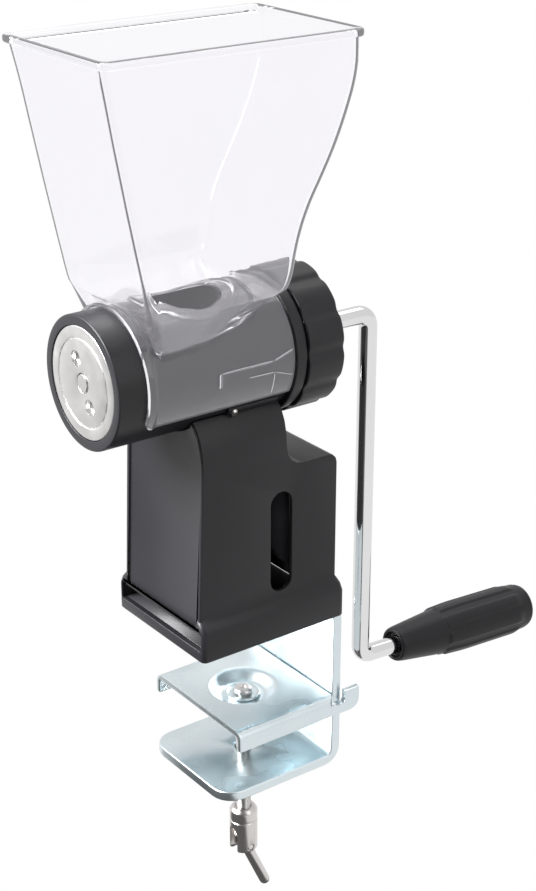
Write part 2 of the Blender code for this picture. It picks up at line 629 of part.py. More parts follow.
def make_bracket():
    back, sheet = PLATE_BACK, PLATE
    low = LOWER_TOP - sheet
    outer = 9.5
    inner = outer - sheet
    outside = ([(-36.0, sheet)] + arc((back - outer, sheet - outer), outer, 90, 0, 5)
               + arc((back - outer, low + outer), outer, 0, -90, 5) + [(LOWER_FRONT, low)])
    inside = ([(LOWER_FRONT, LOWER_TOP)] + arc((back - outer, low + outer), inner, -90, 0, 5)
              + arc((back - outer, sheet - outer), inner, 0, 90, 5) + [(-36.0, 0.0)])
    bracket = prism("clamp_bracket", outside + inside, "X", -PLATE_HALF, PLATE_HALF, ZINC)
    radius = 12.0
    corners = bmesh.new()
    for side in (-1, 1):
        corner = (side * (PLATE_HALF + 1), LOWER_FRONT - 1)
        centre = (side * (PLATE_HALF - radius), LOWER_FRONT + radius)
        curve = arc(centre, radius, 270, 270 + side * 90, 6)
        outline = [(centre[0], corner[1])] + curve + [(corner[0], centre[1]), corner]
        face = corners.faces.new([corners.verts.new((x, y, low - 2)) for x, y in outline])
        made = bmesh.ops.extrude_face_region(corners, geom=[face])
        moved = [part for part in made["geom"] if isinstance(part, bmesh.types.BMVert)]
        bmesh.ops.translate(corners, vec=(0, 0, sheet + 6), verts=moved)
    boolean(bracket, place("bracket_corners", corners))
    holes = bmesh.new()
    sinks = bmesh.new()
    for x, y in BRACKET_SCREWS:
        add_rod(holes, "Z", (x, y), -1.0, sheet + 1.0, 2.5 + GAP, sides=16)
        add_rod(sinks, "Z", (x, y), -0.3, 2.8, 5.9, 2.8, sides=16)
    add_rod(holes, "Z", (0.0, SCREW_Y), low - 1.0, LOWER_TOP + 1.0, SCREW_RADIUS + 0.5, sides=24)
    boolean(bracket, place("bracket_holes", holes))
    boolean(bracket, place("bracket_sinks", sinks))
    nut = rod("clamp_nut", "Z", (0.0, SCREW_Y), low - GAP - NUT_HEIGHT, low - GAP,
              NUT_ACROSS / math.sqrt(3), ZINC, 6)
    boolean(nut, rod("nut_bore", "Z", (0.0, SCREW_Y), low - 10.0, low + 1.0, SCREW_RADIUS + GAP,
                     sides=24))


def make_jaw():
    half, sheet, top = JAW_HALF, JAW_SHEET, JAW_TOP
    bend = 4.6
    outer = [(half, JAW_FLANGE_Z)] + arc((half - bend, top - bend), bend, 0, 90, 4)
    inner = arc((half - bend, top - bend), bend - sheet, 90, 0, 4) + [(half - sheet, JAW_FLANGE_Z)]
    outline = (outer + [(-x, z) for x, z in reversed(outer)]
               + [(-x, z) for x, z in reversed(inner)] + inner)
    jaw = prism("clamp_jaw", outline, "Y", -22.0, 38.6, ZINC)
    tail = ([(38.0, JAW_FLANGE_Z)] + arc((48.5, JAW_FLANGE_Z + 6.0), 6.0, 270, 360, 4)
            + [(54.5, -45.5), (45.2, -45.5)] + arc((42.1, -49.6), 2.9, 0, -180, 6)
            + [(38.0, -50.8)])
    for name, side in (("ear_right", 1), ("ear_left", -1)):
        ends = sorted((side * (half - sheet), side * half))
        boolean(jaw, prism(name, tail, "X", *ends), "UNION")
    boolean(jaw, rod("dish_outside", "Z", (0.0, SCREW_Y), top - 8.0, top - 2.0, 13.0, sides=32,
                     end_radius=18.6), "UNION")
    boolean(jaw, rod("dish_inside", "Z", (0.0, SCREW_Y), top - 5.0, top + 0.4, 11.0, sides=32,
                     end_radius=17.6))
    boolean(jaw, rod("dish_hole", "Z", (0.0, SCREW_Y), top - 12.0, top + 2.0, 3.4, sides=24))
    turned("jaw_washer", ring_profile(3.4, 9.0, -1.5, 0.0), ZINC, 24, closed=True, axis="Z",
           origin=(0.0, SCREW_Y, top - 3.2))


def make_clamp_screw():
    r = SCREW_RADIUS
    shoulder_z = JAW_TOP - 8.0 - GAP
    head = JAW_TOP - 2.9
    profile = [(0, head + 1.2), (1.6, head + 1.2), (1.6, head + 2.2), (4.0, head + 2.2),
               (5.2, head + 1.0), (5.2, head), (3.0, head), (3.0, shoulder_z), (r, shoulder_z - 0.6), (r, -128.0),
               (0, -128.0)]
    turned("clamp_screw", profile, STEEL, 24, axis="Z", origin=(0.0, SCREW_Y, 0.0))
    shell = [(0, -128.3), (r + GAP, -128.3), (r + GAP, BARREL_TOP), (6.6, BARREL_TOP),
             (7.5, BARREL_TOP - 1.0), (7.5, BARREL_BOTTOM + 0.6), (6.9, BARREL_BOTTOM),
             (0, BARREL_BOTTOM)]
    barrel = turned("screw_barrel", shell, STEEL, 32, axis="Z", origin=(0.0, SCREW_Y, 0.0))
    boolean(barrel, box("bar_slot", (-3.3, SCREW_Y - 10.0, -160.0), (3.3, SCREW_Y + 10.0, -133.0)))
    pin_centre = (SCREW_Y, TOMMY_Z)
    boolean(barrel, rod("pin_hole", "X", pin_centre, -10.0, 10.0, 1.5 + GAP, sides=16))
    rod("tommy_pin", "X", pin_centre, -7.0, 7.0, 1.5, STEEL, 16)


def make_tommy_bar():
    """Its origin is on the cross pin, where it swings."""
    radius, length = 2.9, 36.3
    profile = [(0, 3.1), (2.0, 2.7), (radius, 1.6), (radius, -length + 2.0), (1.8, -length + 0.4),
               (0, -length)]
    bar = turned("tommy_bar", profile, STEEL, 24, axis="Z", origin=(0.0, SCREW_Y, TOMMY_Z))
    bar.rotation_euler = (TOMMY_TILT, 0.0, 0.0)
    boolean(bar, rod("bar_pin_hole", "X", (SCREW_Y, TOMMY_Z), -8.0, 8.0, 1.5 + GAP, sides=16))


# The joints' axes

def pivot(name, spot, pieces):
    """An empty on a joint's axis, which carries the pieces that move together there."""
    empty = bpy.data.objects.new(name, None)
    empty.location = Vector(spot) * MM
    PARTS.objects.link(empty)
    for piece in pieces:
        item = bpy.data.objects[piece]
        item.parent = empty
        item.matrix_parent_inverse = Matrix.Translation(-empty.location)


def make_pivots():
    grip_start = along_grip(0.0)
    pivot("hopper_slide", on_axis(LIP_FRONT), ["hopper"])
    pivot("ring_axis", on_axis(COLLAR_BACK), ["adjusting_ring"])
    pivot("sleeve_axis", on_axis(), ["thrust_sleeve", "rear_bush"])
    pivot("crank_axis", on_axis(SHAFT_BACK), ["drive_shaft", "auger", "rotating_burr", "burr_key",
                                              "shaft_clip", "crank_set_screw", "crank_rod",
                                              "grip_clip"])
    pivot("grip_axis", (0.0, *grip_start), ["grip", "grip_cap"])
    pivot("jaw_slide", (0.0, SCREW_Y, JAW_TOP), ["clamp_jaw", "jaw_washer"])
    pivot("clamp_screw_axis", (0.0, SCREW_Y, BARREL_TOP), ["clamp_screw", "screw_barrel",
                                                           "tommy_pin"])
    pivot("tommy_axis", (0.0, SCREW_Y, TOMMY_Z), ["tommy_bar"])


def build():
    make_stand()
    make_stand_screws()
    make_housing()
    make_latch_screws()
    make_head_parts()
    make_auger()
    make_shaft()
    make_sleeve()
    make_ring()
    make_hopper()
    make_crank()
    make_grip()
    make_bracket()
    make_jaw()
    make_clamp_screw()
    make_tommy_bar()
    make_pivots()


build()
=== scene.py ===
"""The looks of a hand-cranked grain mill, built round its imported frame.

Sizes are in millimetres in the classes below and are turned into metres when a mesh is made. The
frame has +X on the slotted side, -Y at the steel end disc, +Y at the crank and +Z up, and its
origin is under the middle of the foot. The mill's own axis runs along Y at the height AXIS_Z.
"""

from __future__ import annotations

import json
import logging
import math
from collections.abc import Callable
from dataclasses import dataclass
from enum import Enum
from typing import Any

import bmesh
import bpy
import numpy as np
from mathutils import Matrix, Vector

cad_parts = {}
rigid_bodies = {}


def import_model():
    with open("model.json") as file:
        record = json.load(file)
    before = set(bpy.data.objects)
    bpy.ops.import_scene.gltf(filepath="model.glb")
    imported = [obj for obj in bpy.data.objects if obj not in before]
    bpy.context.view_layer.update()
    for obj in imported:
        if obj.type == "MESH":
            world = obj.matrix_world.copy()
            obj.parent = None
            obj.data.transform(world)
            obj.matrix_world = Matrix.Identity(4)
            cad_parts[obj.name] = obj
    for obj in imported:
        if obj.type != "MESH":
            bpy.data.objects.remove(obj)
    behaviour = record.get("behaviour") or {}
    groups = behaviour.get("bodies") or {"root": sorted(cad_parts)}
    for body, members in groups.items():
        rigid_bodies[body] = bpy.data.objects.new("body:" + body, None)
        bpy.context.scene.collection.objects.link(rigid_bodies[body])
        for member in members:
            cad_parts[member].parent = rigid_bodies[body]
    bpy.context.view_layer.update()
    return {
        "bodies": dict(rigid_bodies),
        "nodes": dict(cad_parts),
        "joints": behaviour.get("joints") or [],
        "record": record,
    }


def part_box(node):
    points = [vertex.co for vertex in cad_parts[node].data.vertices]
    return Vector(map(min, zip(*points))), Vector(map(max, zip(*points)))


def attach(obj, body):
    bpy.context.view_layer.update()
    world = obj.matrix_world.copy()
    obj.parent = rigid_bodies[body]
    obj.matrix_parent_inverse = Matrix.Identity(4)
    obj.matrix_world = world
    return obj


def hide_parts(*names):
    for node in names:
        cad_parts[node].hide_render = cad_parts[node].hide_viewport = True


LOG = logging.getLogger("grain_mill")
Socket = bpy.types.NodeSocket

MM = 0.001
AXIS_Z = 142.5
SADDLE_OUTSIDE = 33.5
SADDLE_INSIDE = 32.5
SHARP = 32.0
CLEAR_SHARP = 45.0
DOUBLED = 2e-6
SEEN_THROUGH = 0.97


# Meshes


class Along(Enum):
    """The axis that a turned piece is turned about."""

    Y = "y"
    Z = "z"


def grid_faces(rows: int, columns: int, wrap_rows: bool, wrap_columns: bool) -> np.ndarray:
    """Index the quads of a grid of points: each joins a point to the next row and column.

    Args:
        rows: How many rows of points there are.
        columns: How many points a row has.
        wrap_rows: Whether the last row joins the first.
        wrap_columns: Whether a row's last point joins its first.

    Returns:
        An array of four point numbers for each quad.
    """
    row, column = np.meshgrid(
        np.arange(rows if wrap_rows else rows - 1),
        np.arange(columns if wrap_columns else columns - 1),
        indexing="ij",
    )
    next_row, next_column = (row + 1) % rows, (column + 1) % columns
    corners = (
        row * columns + column,
        row * columns + next_column,
        next_row * columns + next_column,
        next_row * columns + column,
    )
    return np.stack(corners, axis=-1).reshape(-1, 4)


def place_in_scene(name: str, mesh: bpy.types.Mesh) -> bpy.types.Object:
    """Make an object of a mesh, at the origin, and link it to the scene."""
    item = bpy.data.objects.new(name, mesh)
    bpy.context.scene.collection.objects.link(item)
    return item


def shade(item: bpy.types.Object, sharp: float) -> None:
    """Shade a piece smooth, with edges past an angle in degrees kept sharp."""
    item.data.shade_smooth()
    item.data.set_sharp_from_angle(angle=math.radians(sharp))


def new_piece(
    name: str, points: np.ndarray, wrap_rows: bool, wrap_columns: bool, sharp: float = SHARP
) -> bpy.types.Object:
    """Put a grid of points into a mesh, merge its poles and seams, and turn its faces outwards.

    Args:
        name: The piece's name.
        points: Points in millimetres, by row and column.
        wrap_rows: Whether the last row joins the first.
        wrap_columns: Whether a row's last point joins its first.
        sharp: The angle between faces, in degrees, past which an edge stays sharp.

    Returns:
        The new object, linked to the scene, at the origin.
    """
    mesh = bpy.data.meshes.new(name)
    faces = grid_faces(*points.shape[:2], wrap_rows, wrap_columns)
    mesh.from_pydata(points.reshape(-1, 3) * MM, [], faces.tolist())
    bm = bmesh.new()
    bm.from_mesh(mesh)
    bmesh.ops.remove_doubles(bm, verts=bm.verts, dist=DOUBLED)
    bmesh.ops.dissolve_degenerate(bm, edges=bm.edges, dist=DOUBLED)
    bmesh.ops.recalc_face_normals(bm, faces=bm.faces)
    bm.to_mesh(mesh)
    bm.free()
    item = place_in_scene(name, mesh)
    shade(item, sharp)
    return item


def bake(item: bpy.types.Object) -> None:
    """Apply a piece's modifiers to its mesh and shade it again."""
    bpy.context.view_layer.update()
    graph = bpy.context.evaluated_depsgraph_get()
    made = bpy.data.meshes.new_from_object(item.evaluated_get(graph))
    item.modifiers.clear()
    item.data = made
    shade(item, SHARP)


def carve(item: bpy.types.Object, tool: bpy.types.Object, operation: str = "DIFFERENCE") -> None:
    """Cut a tool out of a piece, or join it on, and remove the tool.

    Args:
        item: The piece.
        tool: A closed solid.
        operation: DIFFERENCE or UNION.
    """
    step = item.modifiers.new("carve", "BOOLEAN")
    step.operation = operation
    step.object = tool
    step.solver = "EXACT"
    bake(item)
    bpy.data.objects.remove(tool, do_unlink=True)


def bevel(item: bpy.types.Object, width: float, segments: int = 3, angle: float = 35.0) -> None:
    """Round a piece's edges.

    Args:
        item: The piece.
        width: The width of the rounding, in millimetres.
        segments: How many faces cross it.
        angle: Edges sharper than this many degrees are rounded.
    """
    step = item.modifiers.new("round", "BEVEL")
    step.width = width * MM
    step.segments = segments
    step.limit_method = "ANGLE"
    step.angle_limit = math.radians(angle)
    step.use_clamp_overlap = False
    step.miter_outer = "MITER_ARC"
    bake(item)


def bevelled_copy(frame: dict, node: str, width: float, segments: int = 3) -> bpy.types.Object:
    """Copy a frame node, merge its loose triangles into whole faces and round its edges.

    Args:
        node: The node's name.
        width: The width of the rounding, in millimetres.
        segments: How many faces cross it.

    Returns:
        The new piece, which stands for the node.
    """
    mesh = frame["nodes"][node].data.copy()
    mesh.materials.clear()
    item = place_in_scene(node + "_body", mesh)
    bm = bmesh.new()
    bm.from_mesh(mesh)
    bmesh.ops.remove_doubles(bm, verts=bm.verts, dist=1e-5)
    bmesh.ops.dissolve_limit(bm, angle_limit=math.radians(0.6), verts=bm.verts, edges=bm.edges)
    bm.to_mesh(mesh)
    bm.free()
    bevel(item, width, segments)
    return item


def smooth_step(value: np.ndarray) -> np.ndarray:
    """Ease from 0 to 1: 3t^2 - 2t^3, with t held between 0 and 1."""
    held = np.clip(value, 0.0, 1.0)
    return held * held * (3.0 - 2.0 * held)


def arc(centre: tuple, radius: float, start: float, end: float, steps: int = 8) -> np.ndarray:
    """Points on an arc: centre + radius (cos a, sin a), with the angle a from start to end.

    Args:
        centre: The arc's centre.
        radius: Its radius.
        start: The first angle in degrees.
        end: The last angle in degrees.
        steps: How many chords it has.

    Returns:
        An array of two columns.
    """
    angle = np.radians(np.linspace(start, end, steps + 1))
    return np.stack((centre[0] + radius * np.cos(angle), centre[1] + radius * np.sin(angle)), axis=1)


def rounded(corners: list, steps: int = 5, closed: bool = True) -> np.ndarray:
    """Round a polygon's corners: each becomes a quadratic curve between two points on its sides.

    Args:
        corners: Rows of (u, v, radius); the curve starts and ends a radius from the corner.
        steps: How many chords each curve has.
        closed: Whether the last corner joins the first.

    Returns:
        The outline as an array of two columns.
    """
    table = np.array(corners, float)
    spots, radii = table[:, :2], table[:, 2:3]
    before, after = np.roll(spots, 1, axis=0), np.roll(spots, -1, axis=0)
    if not closed:
        before[0], after[-1] = spots[0], spots[-1]
    leave, reach = before - spots, after - spots
    leave_long = np.maximum(np.linalg.norm(leave, axis=1, keepdims=True), 1e-9)
    reach_long = np.maximum(np.linalg.norm(reach, axis=1, keepdims=True), 1e-9)
    first = spots + leave / leave_long * np.minimum(radii, 0.5 * leave_long)
    last = spots + reach / reach_long * np.minimum(radii, 0.5 * reach_long)
    t = np.linspace(0.0, 1.0, steps + 1)[None, :, None]
    curve = (1 - t) ** 2 * first[:, None] + 2 * t * (1 - t) * spots[:, None] + t ** 2 * last[:, None]
    outline = curve.reshape(-1, 2)
    apart = np.linalg.norm(outline - np.roll(outline, 1, axis=0), axis=1) > 1e-4
    apart[0] = True
    return outline[apart]


def resample(outline: np.ndarray, spacing: float) -> np.ndarray:
    """Add points along an outline's long sides, so that no side is longer than the spacing.

    Args:
        outline: An open line of points.
        spacing: The longest side wanted.

    Returns:
        The line with the added points.
    """
    long = np.linalg.norm(np.diff(outline, axis=0), axis=1)
    counts = np.maximum(1, np.ceil(long / spacing).astype(int))
    start = np.repeat(outline[:-1], counts, axis=0)
    side = np.repeat(np.diff(outline, axis=0), counts, axis=0)
    share = np.concatenate([np.arange(n) / n for n in counts])[:, None]
    return np.concatenate((start + side * share, outline[-1:]), axis=0)


def turned(
    name: str,
    profile: np.ndarray,
    along: Along,
    place: tuple,
    sides: int = 96,
    closed: bool = False,
    reshape: Callable | None = None,
) -> bpy.types.Object:
    """Turn a profile of (radius, height) about an axis: the point at angle a is radius (cos a, sin a).

    Args:
        name: The piece's name.
        profile: The profile, as two columns.
        along: The axis that the height runs along.
        place: Where the axis starts, in millimetres.
        sides: How many steps go round.
        closed: Whether the profile is a closed loop, as a ring's is.
        reshape: Changes the radius, given arrays of radius, height and angle.

    Returns:
        The new piece.
    """
    angle = np.linspace(0.0, 2 * np.pi, sides, endpoint=False)[:, None]
    radius = np.broadcast_to(profile[None, :, 0], (sides, len(profile)))
    height = np.broadcast_to(profile[None, :, 1], (sides, len(profile)))
    if reshape is not None:
        radius = reshape(radius, height, angle)
    across, up = radius * np.cos(angle), radius * np.sin(angle)
    order = (across, height, up) if along is Along.Y else (across, up, height)
    points = np.stack(order, axis=-1) + np.array(place)
    return new_piece(name, points, True, closed)


def prism(name: str, outline: np.ndarray, axis: int, low: float, high: float) -> bpy.types.Object:
    """Extrude a closed outline along an axis, with both ends filled.

    Args:
        name: The piece's name.
        outline: The outline, as two columns, in the order of the two other axes.
        axis: 0, 1 or 2 for X, Y or Z.
        low: Where it starts.
        high: Where it ends.

    Returns:
        The new piece.
    """
    ends = np.stack([np.insert(outline, axis, level, axis=1) for level in (low, high)])
    item = new_piece(name, ends, False, True)
    bm = bmesh.new()
    bm.from_mesh(item.data)
    bmesh.ops.holes_fill(bm, edges=bm.edges, sides=0)
    bmesh.ops.recalc_face_normals(bm, faces=bm.faces)
    bm.to_mesh(item.data)
    bm.free()
    return item


def ellipse(centre: tuple, half: tuple, steps: int = 64) -> np.ndarray:
    """An ellipse's points: centre + (a cos t, b sin t).

    Args:
        centre: Its centre.
        half: Its two half axes a and b.
        steps: How many points it has.

    Returns:
        The outline as two columns.
    """
    t = np.linspace(0.0, 2 * np.pi, steps, endpoint=False)
    return np.stack((centre[0] + half[0] * np.cos(t), centre[1] + half[1] * np.sin(t)), axis=1)


def swept(name: str, path: np.ndarray, radius: np.ndarray, sides: int = 32) -> bpy.types.Object:
    """Carry a circle along a path in the plane x = 0: path + radius (cos a across, sin a square to it).

    Args:
        name: The piece's name.
        path: Points as (y, z).
        radius: The radius at each point; 0 at an end closes it.
        sides: How many steps go round.

    Returns:
        The new piece.
    """
    step = np.gradient(path, axis=0)
    step /= np.linalg.norm(step, axis=1, keepdims=True)
    angle = np.linspace(0.0, 2 * np.pi, sides, endpoint=False)[None, :]
    across = radius[:, None] * np.cos(angle)
    square = radius[:, None] * np.sin(angle)
    y = path[:, :1] - step[:, 1:] * square
    z = path[:, 1:] + step[:, :1] * square
    return new_piece(name, np.stack((across, y, z), axis=-1), False, True)


# Finishes


@dataclass(frozen=True)
class Effect:
    """A shader node group that several finishes share, made once and found again by its name."""

    name: str
    takes: tuple
    gives: tuple

    def tree(self) -> tuple:
        """Make the empty group, or find the made one.

        Returns:
            The group, and whether it still has to be filled.
        """
        found = bpy.data.node_groups.get(self.name)
        if found:
            return found, False
        group = bpy.data.node_groups.new(self.name, "ShaderNodeTree")
        for label, kind in self.takes:
            group.interface.new_socket(label, in_out="INPUT", socket_type=kind)
        for label, kind in self.gives:
            group.interface.new_socket(label, in_out="OUTPUT", socket_type=kind)
        group.nodes.new("NodeGroupInput")
        group.nodes.new("NodeGroupOutput")
        return group, True


def math_node(tree: bpy.types.NodeTree, operation: str, *values: Any, vector: bool = False) -> Socket:
    """Add a Math node, or a Vector Math node.

    Args:
        tree: The node tree.
        operation: Its operation.
        values: A socket or a constant for each input.
        vector: Whether it is a Vector Math node.

    Returns:
        Its output, which is a number for a dot product or a length.
    """
    node = tree.nodes.new("ShaderNodeVectorMath" if vector else "ShaderNodeMath")
    node.operation = operation
    for slot, value in zip(node.inputs, values):
        if isinstance(value, Socket):
            tree.links.new(value, slot)
        else:
            slot.default_value = value
    number = not vector or operation in ("DOT_PRODUCT", "LENGTH")
    return node.outputs["Value" if number else "Vector"]


def object_place(tree: bpy.types.NodeTree) -> Socket:
    """The object coordinates."""
    return tree.nodes.new("ShaderNodeTexCoord").outputs["Object"]


def noise(tree: bpy.types.NodeTree, where: Socket, scale: Any, detail: float = 2.0) -> Socket:
    """Add a Noise Texture and give its value.

    Args:
        tree: The node tree.
        where: The socket of its coordinates.
        scale: A socket or a number.
        detail: How many octaves it has.

    Returns:
        Its value, about 0.5 in the middle.
    """
    node = tree.nodes.new("ShaderNodeTexNoise")
    tree.links.new(where, node.inputs["Vector"])
    if isinstance(scale, Socket):
        tree.links.new(scale, node.inputs["Scale"])
    else:
        node.inputs["Scale"].default_value = scale
    node.inputs["Detail"].default_value = detail
    return node.outputs[0]


def grain_effect() -> bpy.types.NodeTree:
    """A moulded or plated surface: fine grain as height, and soft clouds as a mask."""
    effect = Effect(
        "surface_grain",
        (("Grain Scale", "NodeSocketFloat"), ("Cloud Scale", "NodeSocketFloat")),
        (("Height", "NodeSocketFloat"), ("Clouds", "NodeSocketFloat")),
    )
    tree, empty = effect.tree()
    if empty:
        takes, gives = tree.nodes["Group Input"], tree.nodes["Group Output"]
        where = object_place(tree)
        fine = noise(tree, where, takes.outputs["Grain Scale"], 3.0)
        soft = noise(tree, where, takes.outputs["Cloud Scale"], 2.0)
        tree.links.new(fine, gives.inputs["Height"])
        tree.links.new(soft, gives.inputs["Clouds"])
    return tree


def stroke_effect() -> bpy.types.NodeTree:
    """Tool marks: noise stretched along the marks, by way of a scale for each axis."""
    effect = Effect(
        "tool_marks",
        (("Stretch", "NodeSocketVector"), ("Offset", "NodeSocketVector")),
        (("Height", "NodeSocketFloat"), ("Mask", "NodeSocketFloat")),
    )
    tree, empty = effect.tree()
    if empty:
        takes, gives = tree.nodes["Group Input"], tree.nodes["Group Output"]
        where = object_place(tree)
        shifted = math_node(tree, "SUBTRACT", where, takes.outputs["Offset"], vector=True)
        scaled = math_node(tree, "MULTIPLY", shifted, takes.outputs["Stretch"], vector=True)
        marks = noise(tree, scaled, 1.0, 3.0)
        clouds = noise(tree, where, 30.0, 2.0)
        tree.links.new(marks, gives.inputs["Height"])
        tree.links.new(clouds, gives.inputs["Mask"])
    return tree


def ring_effect() -> bpy.types.NodeTree:
    """Lathe marks: noise over the distance from the mill's axis, so that they run round it."""
    effect = Effect(
        "lathe_marks",
        (("Fineness", "NodeSocketFloat"),),
        (("Height", "NodeSocketFloat"), ("Sheen", "NodeSocketFloat")),
    )
    tree, empty = effect.tree()
    if empty:
        takes, gives = tree.nodes["Group Input"], tree.nodes["Group Output"]
        where = object_place(tree)
        shifted = math_node(tree, "SUBTRACT", where, (0.0, 0.0, AXIS_Z * MM), vector=True)
        flat = math_node(tree, "MULTIPLY", shifted, (1.0, 0.0, 1.0), vector=True)
        away = math_node(tree, "LENGTH", flat, vector=True)
        marks = tree.nodes.new("ShaderNodeTexNoise")
        marks.noise_dimensions = "1D"
        marks.inputs["Scale"].default_value = 1.0
        marks.inputs["Detail"].default_value = 3.0
        fine = math_node(tree, "MULTIPLY", away, takes.outputs["Fineness"])
        tree.links.new(fine, marks.inputs["W"])
        tree.links.new(marks.outputs[0], gives.inputs["Height"])
        tree.links.new(noise(tree, where, 90.0, 2.0), gives.inputs["Sheen"])
    return tree


@dataclass(frozen=True)
class Finish:
    """A material's plain values, and the two ends that its masks move colour and roughness between."""

    name: str
    slot: str
    dark: tuple
    light: tuple
    smooth: float
    rough: float
    metallic: float = 0.0
    bump: float = 0.1
    depth: float = 0.00002
    coat: float = 0.0
    ior: float = 1.5

    def effect(self, tree: bpy.types.NodeTree) -> tuple:
        """Place this finish's shared effect.

        Args:
            tree: The material's node tree.

        Returns:
            The height socket and the mask socket.
        """
        raise NotImplementedError

    def dress_shader(self, shader: bpy.types.Node) -> None:
        """Set what only some finishes have, straight on the shader's sockets."""

    def material(self) -> bpy.types.Material:
        """Make the material, or find the made one."""
        found = bpy.data.materials.get(self.name)
        if found:
            return found
        made = bpy.data.materials.new(self.name)
        made.use_nodes = True
        tree = made.node_tree
        shader = tree.nodes["Principled BSDF"]
        shader.inputs["Metallic"].default_value = self.metallic
        shader.inputs["IOR"].default_value = self.ior
        shader.inputs["Coat Weight"].default_value = self.coat
        height, mask = self.effect(tree)
        colour = tree.nodes.new("ShaderNodeMix")
        colour.data_type = "RGBA"
        colour.inputs["A"].default_value = (*self.dark, 1.0)
        colour.inputs["B"].default_value = (*self.light, 1.0)
        tree.links.new(mask, colour.inputs["Factor"])
        tree.links.new(colour.outputs["Result"], shader.inputs["Base Color"])
        spread = tree.nodes.new("ShaderNodeMapRange")
        spread.inputs["From Min"].default_value = 0.3
        spread.inputs["From Max"].default_value = 0.7
        spread.inputs["To Min"].default_value = self.smooth
        spread.inputs["To Max"].default_value = self.rough
        tree.links.new(mask, spread.inputs["Value"])
        tree.links.new(spread.outputs["Result"], shader.inputs["Roughness"])
        raised = tree.nodes.new("ShaderNodeBump")
        raised.inputs["Strength"].default_value = self.bump
        raised.inputs["Distance"].default_value = self.depth
        tree.links.new(height, raised.inputs["Height"])
        tree.links.new(raised.outputs["Normal"], shader.inputs["Normal"])
        self.dress_shader(shader)
        return made


@dataclass(frozen=True)
class Moulded(Finish):
    """Injection-moulded plastic: fine grain, and clouds in its gloss."""

    grain_scale: float = 2600.0
    cloud_scale: float = 22.0

    def effect(self, tree: bpy.types.NodeTree) -> tuple:
        """Place the shared grain with this finish's scales."""
        group = tree.nodes.new("ShaderNodeGroup")
        group.node_tree = grain_effect()
        group.inputs["Grain Scale"].default_value = self.grain_scale
        group.inputs["Cloud Scale"].default_value = self.cloud_scale
        return group.outputs["Height"], group.outputs["Clouds"]


@dataclass(frozen=True)
class ClearMoulded(Moulded):
    """Clear moulded plastic: light passes through it, and a faint painted glow lightens it, though the
    plastic gives off no light of its own.
    """

    # painted glow: a faint emission that lightens the clear walls; the real plastic gives off no light
    painted_glow: float = 0.035

    def dress_shader(self, shader: bpy.types.Node) -> None:
        """Let the light through, and add the painted glow."""
        shader.inputs["Transmission Weight"].default_value = 1.0
        # painted glow: a faint lavender-white emission standing in for light on the clear walls
        shader.inputs["Emission Color"].default_value = (0.96, 0.94, 1.0, 1.0)
        shader.inputs["Emission Strength"].default_value = self.painted_glow


@dataclass(frozen=True)
class Drawn(Finish):
    """Drawn or ground metal: marks along one direction."""

    stretch: tuple = (4000.0, 60.0, 4000.0)
    offset: tuple = (0.0, 0.0, 0.0)

    def effect(self, tree: bpy.types.NodeTree) -> tuple:
        """Place the shared tool marks, stretched this finish's way."""
        group = tree.nodes.new("ShaderNodeGroup")
        group.node_tree = stroke_effect()
        group.inputs["Stretch"].default_value = self.stretch
        group.inputs["Offset"].default_value = self.offset
        return group.outputs["Height"], group.outputs["Mask"]


@dataclass(frozen=True)
class Faced(Finish):
    """Metal faced on a lathe: marks round the mill's axis."""

    fineness: float = 6000.0

    def effect(self, tree: bpy.types.NodeTree) -> tuple:
        """Place the shared lathe marks."""
        group = tree.nodes.new("ShaderNodeGroup")
        group.node_tree = ring_effect()
        group.inputs["Fineness"].default_value = self.fineness
        return group.outputs["Height"], group.outputs["Sheen"]


BLACK = Moulded(
    "satin_black_plastic", "black_plastic", (0.013, 0.013, 0.015), (0.017, 0.017, 0.020), 0.32, 0.40,
    bump=0.25, depth=0.00003, ior=1.40,
)
GRIP_BLACK = Moulded(
    "grip_black_plastic", "black_plastic", (0.009, 0.009, 0.011), (0.014, 0.014, 0.016), 0.38, 0.46,
    bump=0.12, depth=0.00003, ior=1.36,
)
CLEAR = ClearMoulded(
    "clear_moulded_plastic", "clear_plastic", (0.895, 0.888, 0.905), (0.915, 0.908, 0.925), 0.01, 0.025,
    bump=0.03, depth=0.0001, ior=1.42, grain_scale=60.0, cloud_scale=18.0,
)
DISC_STEEL = Faced(
    "faced_steel", "steel", (0.70, 0.69, 0.68), (0.82, 0.81, 0.80), 0.28, 0.38, metallic=1.0,
    bump=0.25, depth=0.00002,
)
SCREW_STEEL = Drawn(
    "nickel_plated_steel", "steel", (0.66, 0.63, 0.61), (0.76, 0.73, 0.71), 0.22, 0.34, metallic=1.0,
    bump=0.15, stretch=(900.0, 900.0, 2500.0),
)
CHROME = Drawn(
    "bright_chrome", "chrome", (0.78, 0.78, 0.78), (0.84, 0.84, 0.84), 0.07, 0.13, metallic=1.0,
    bump=0.05, stretch=(2500.0, 2500.0, 40.0),
)
ZINC = Drawn(
    "bright_zinc_plating", "zinc_plate", (0.66, 0.75, 0.79), (0.80, 0.86, 0.88), 0.20, 0.34,
    metallic=1.0, bump=0.12, stretch=(90.0, 900.0, 900.0),
)
BURR_STEEL = Faced(
    "ground_burr_steel", "burr_steel", (0.38, 0.38, 0.39), (0.50, 0.50, 0.51), 0.35, 0.5, metallic=1.0,
)
BRONZE = Faced("turned_bronze", "bronze", (0.52, 0.34, 0.16), (0.66, 0.45, 0.22), 0.3, 0.42, metallic=1.0)
RUBBER = Moulded("seal_rubber", "seal_rubber", (0.02, 0.02, 0.02), (0.035, 0.035, 0.035), 0.7, 0.85)
AUGER_PLASTIC = Moulded(
    "auger_plastic", "auger_plastic", (0.62, 0.62, 0.60), (0.72, 0.72, 0.70), 0.42, 0.52, bump=0.2,
)


def dress(item: bpy.types.Object, finish: Finish) -> bpy.types.Object:
    """Give a piece its material.

    Args:
        item: The piece.
        finish: The finish.

    Returns:
        The same piece.
    """
    item.data.materials.clear()
    item.data.materials.append(finish.material())
    return item


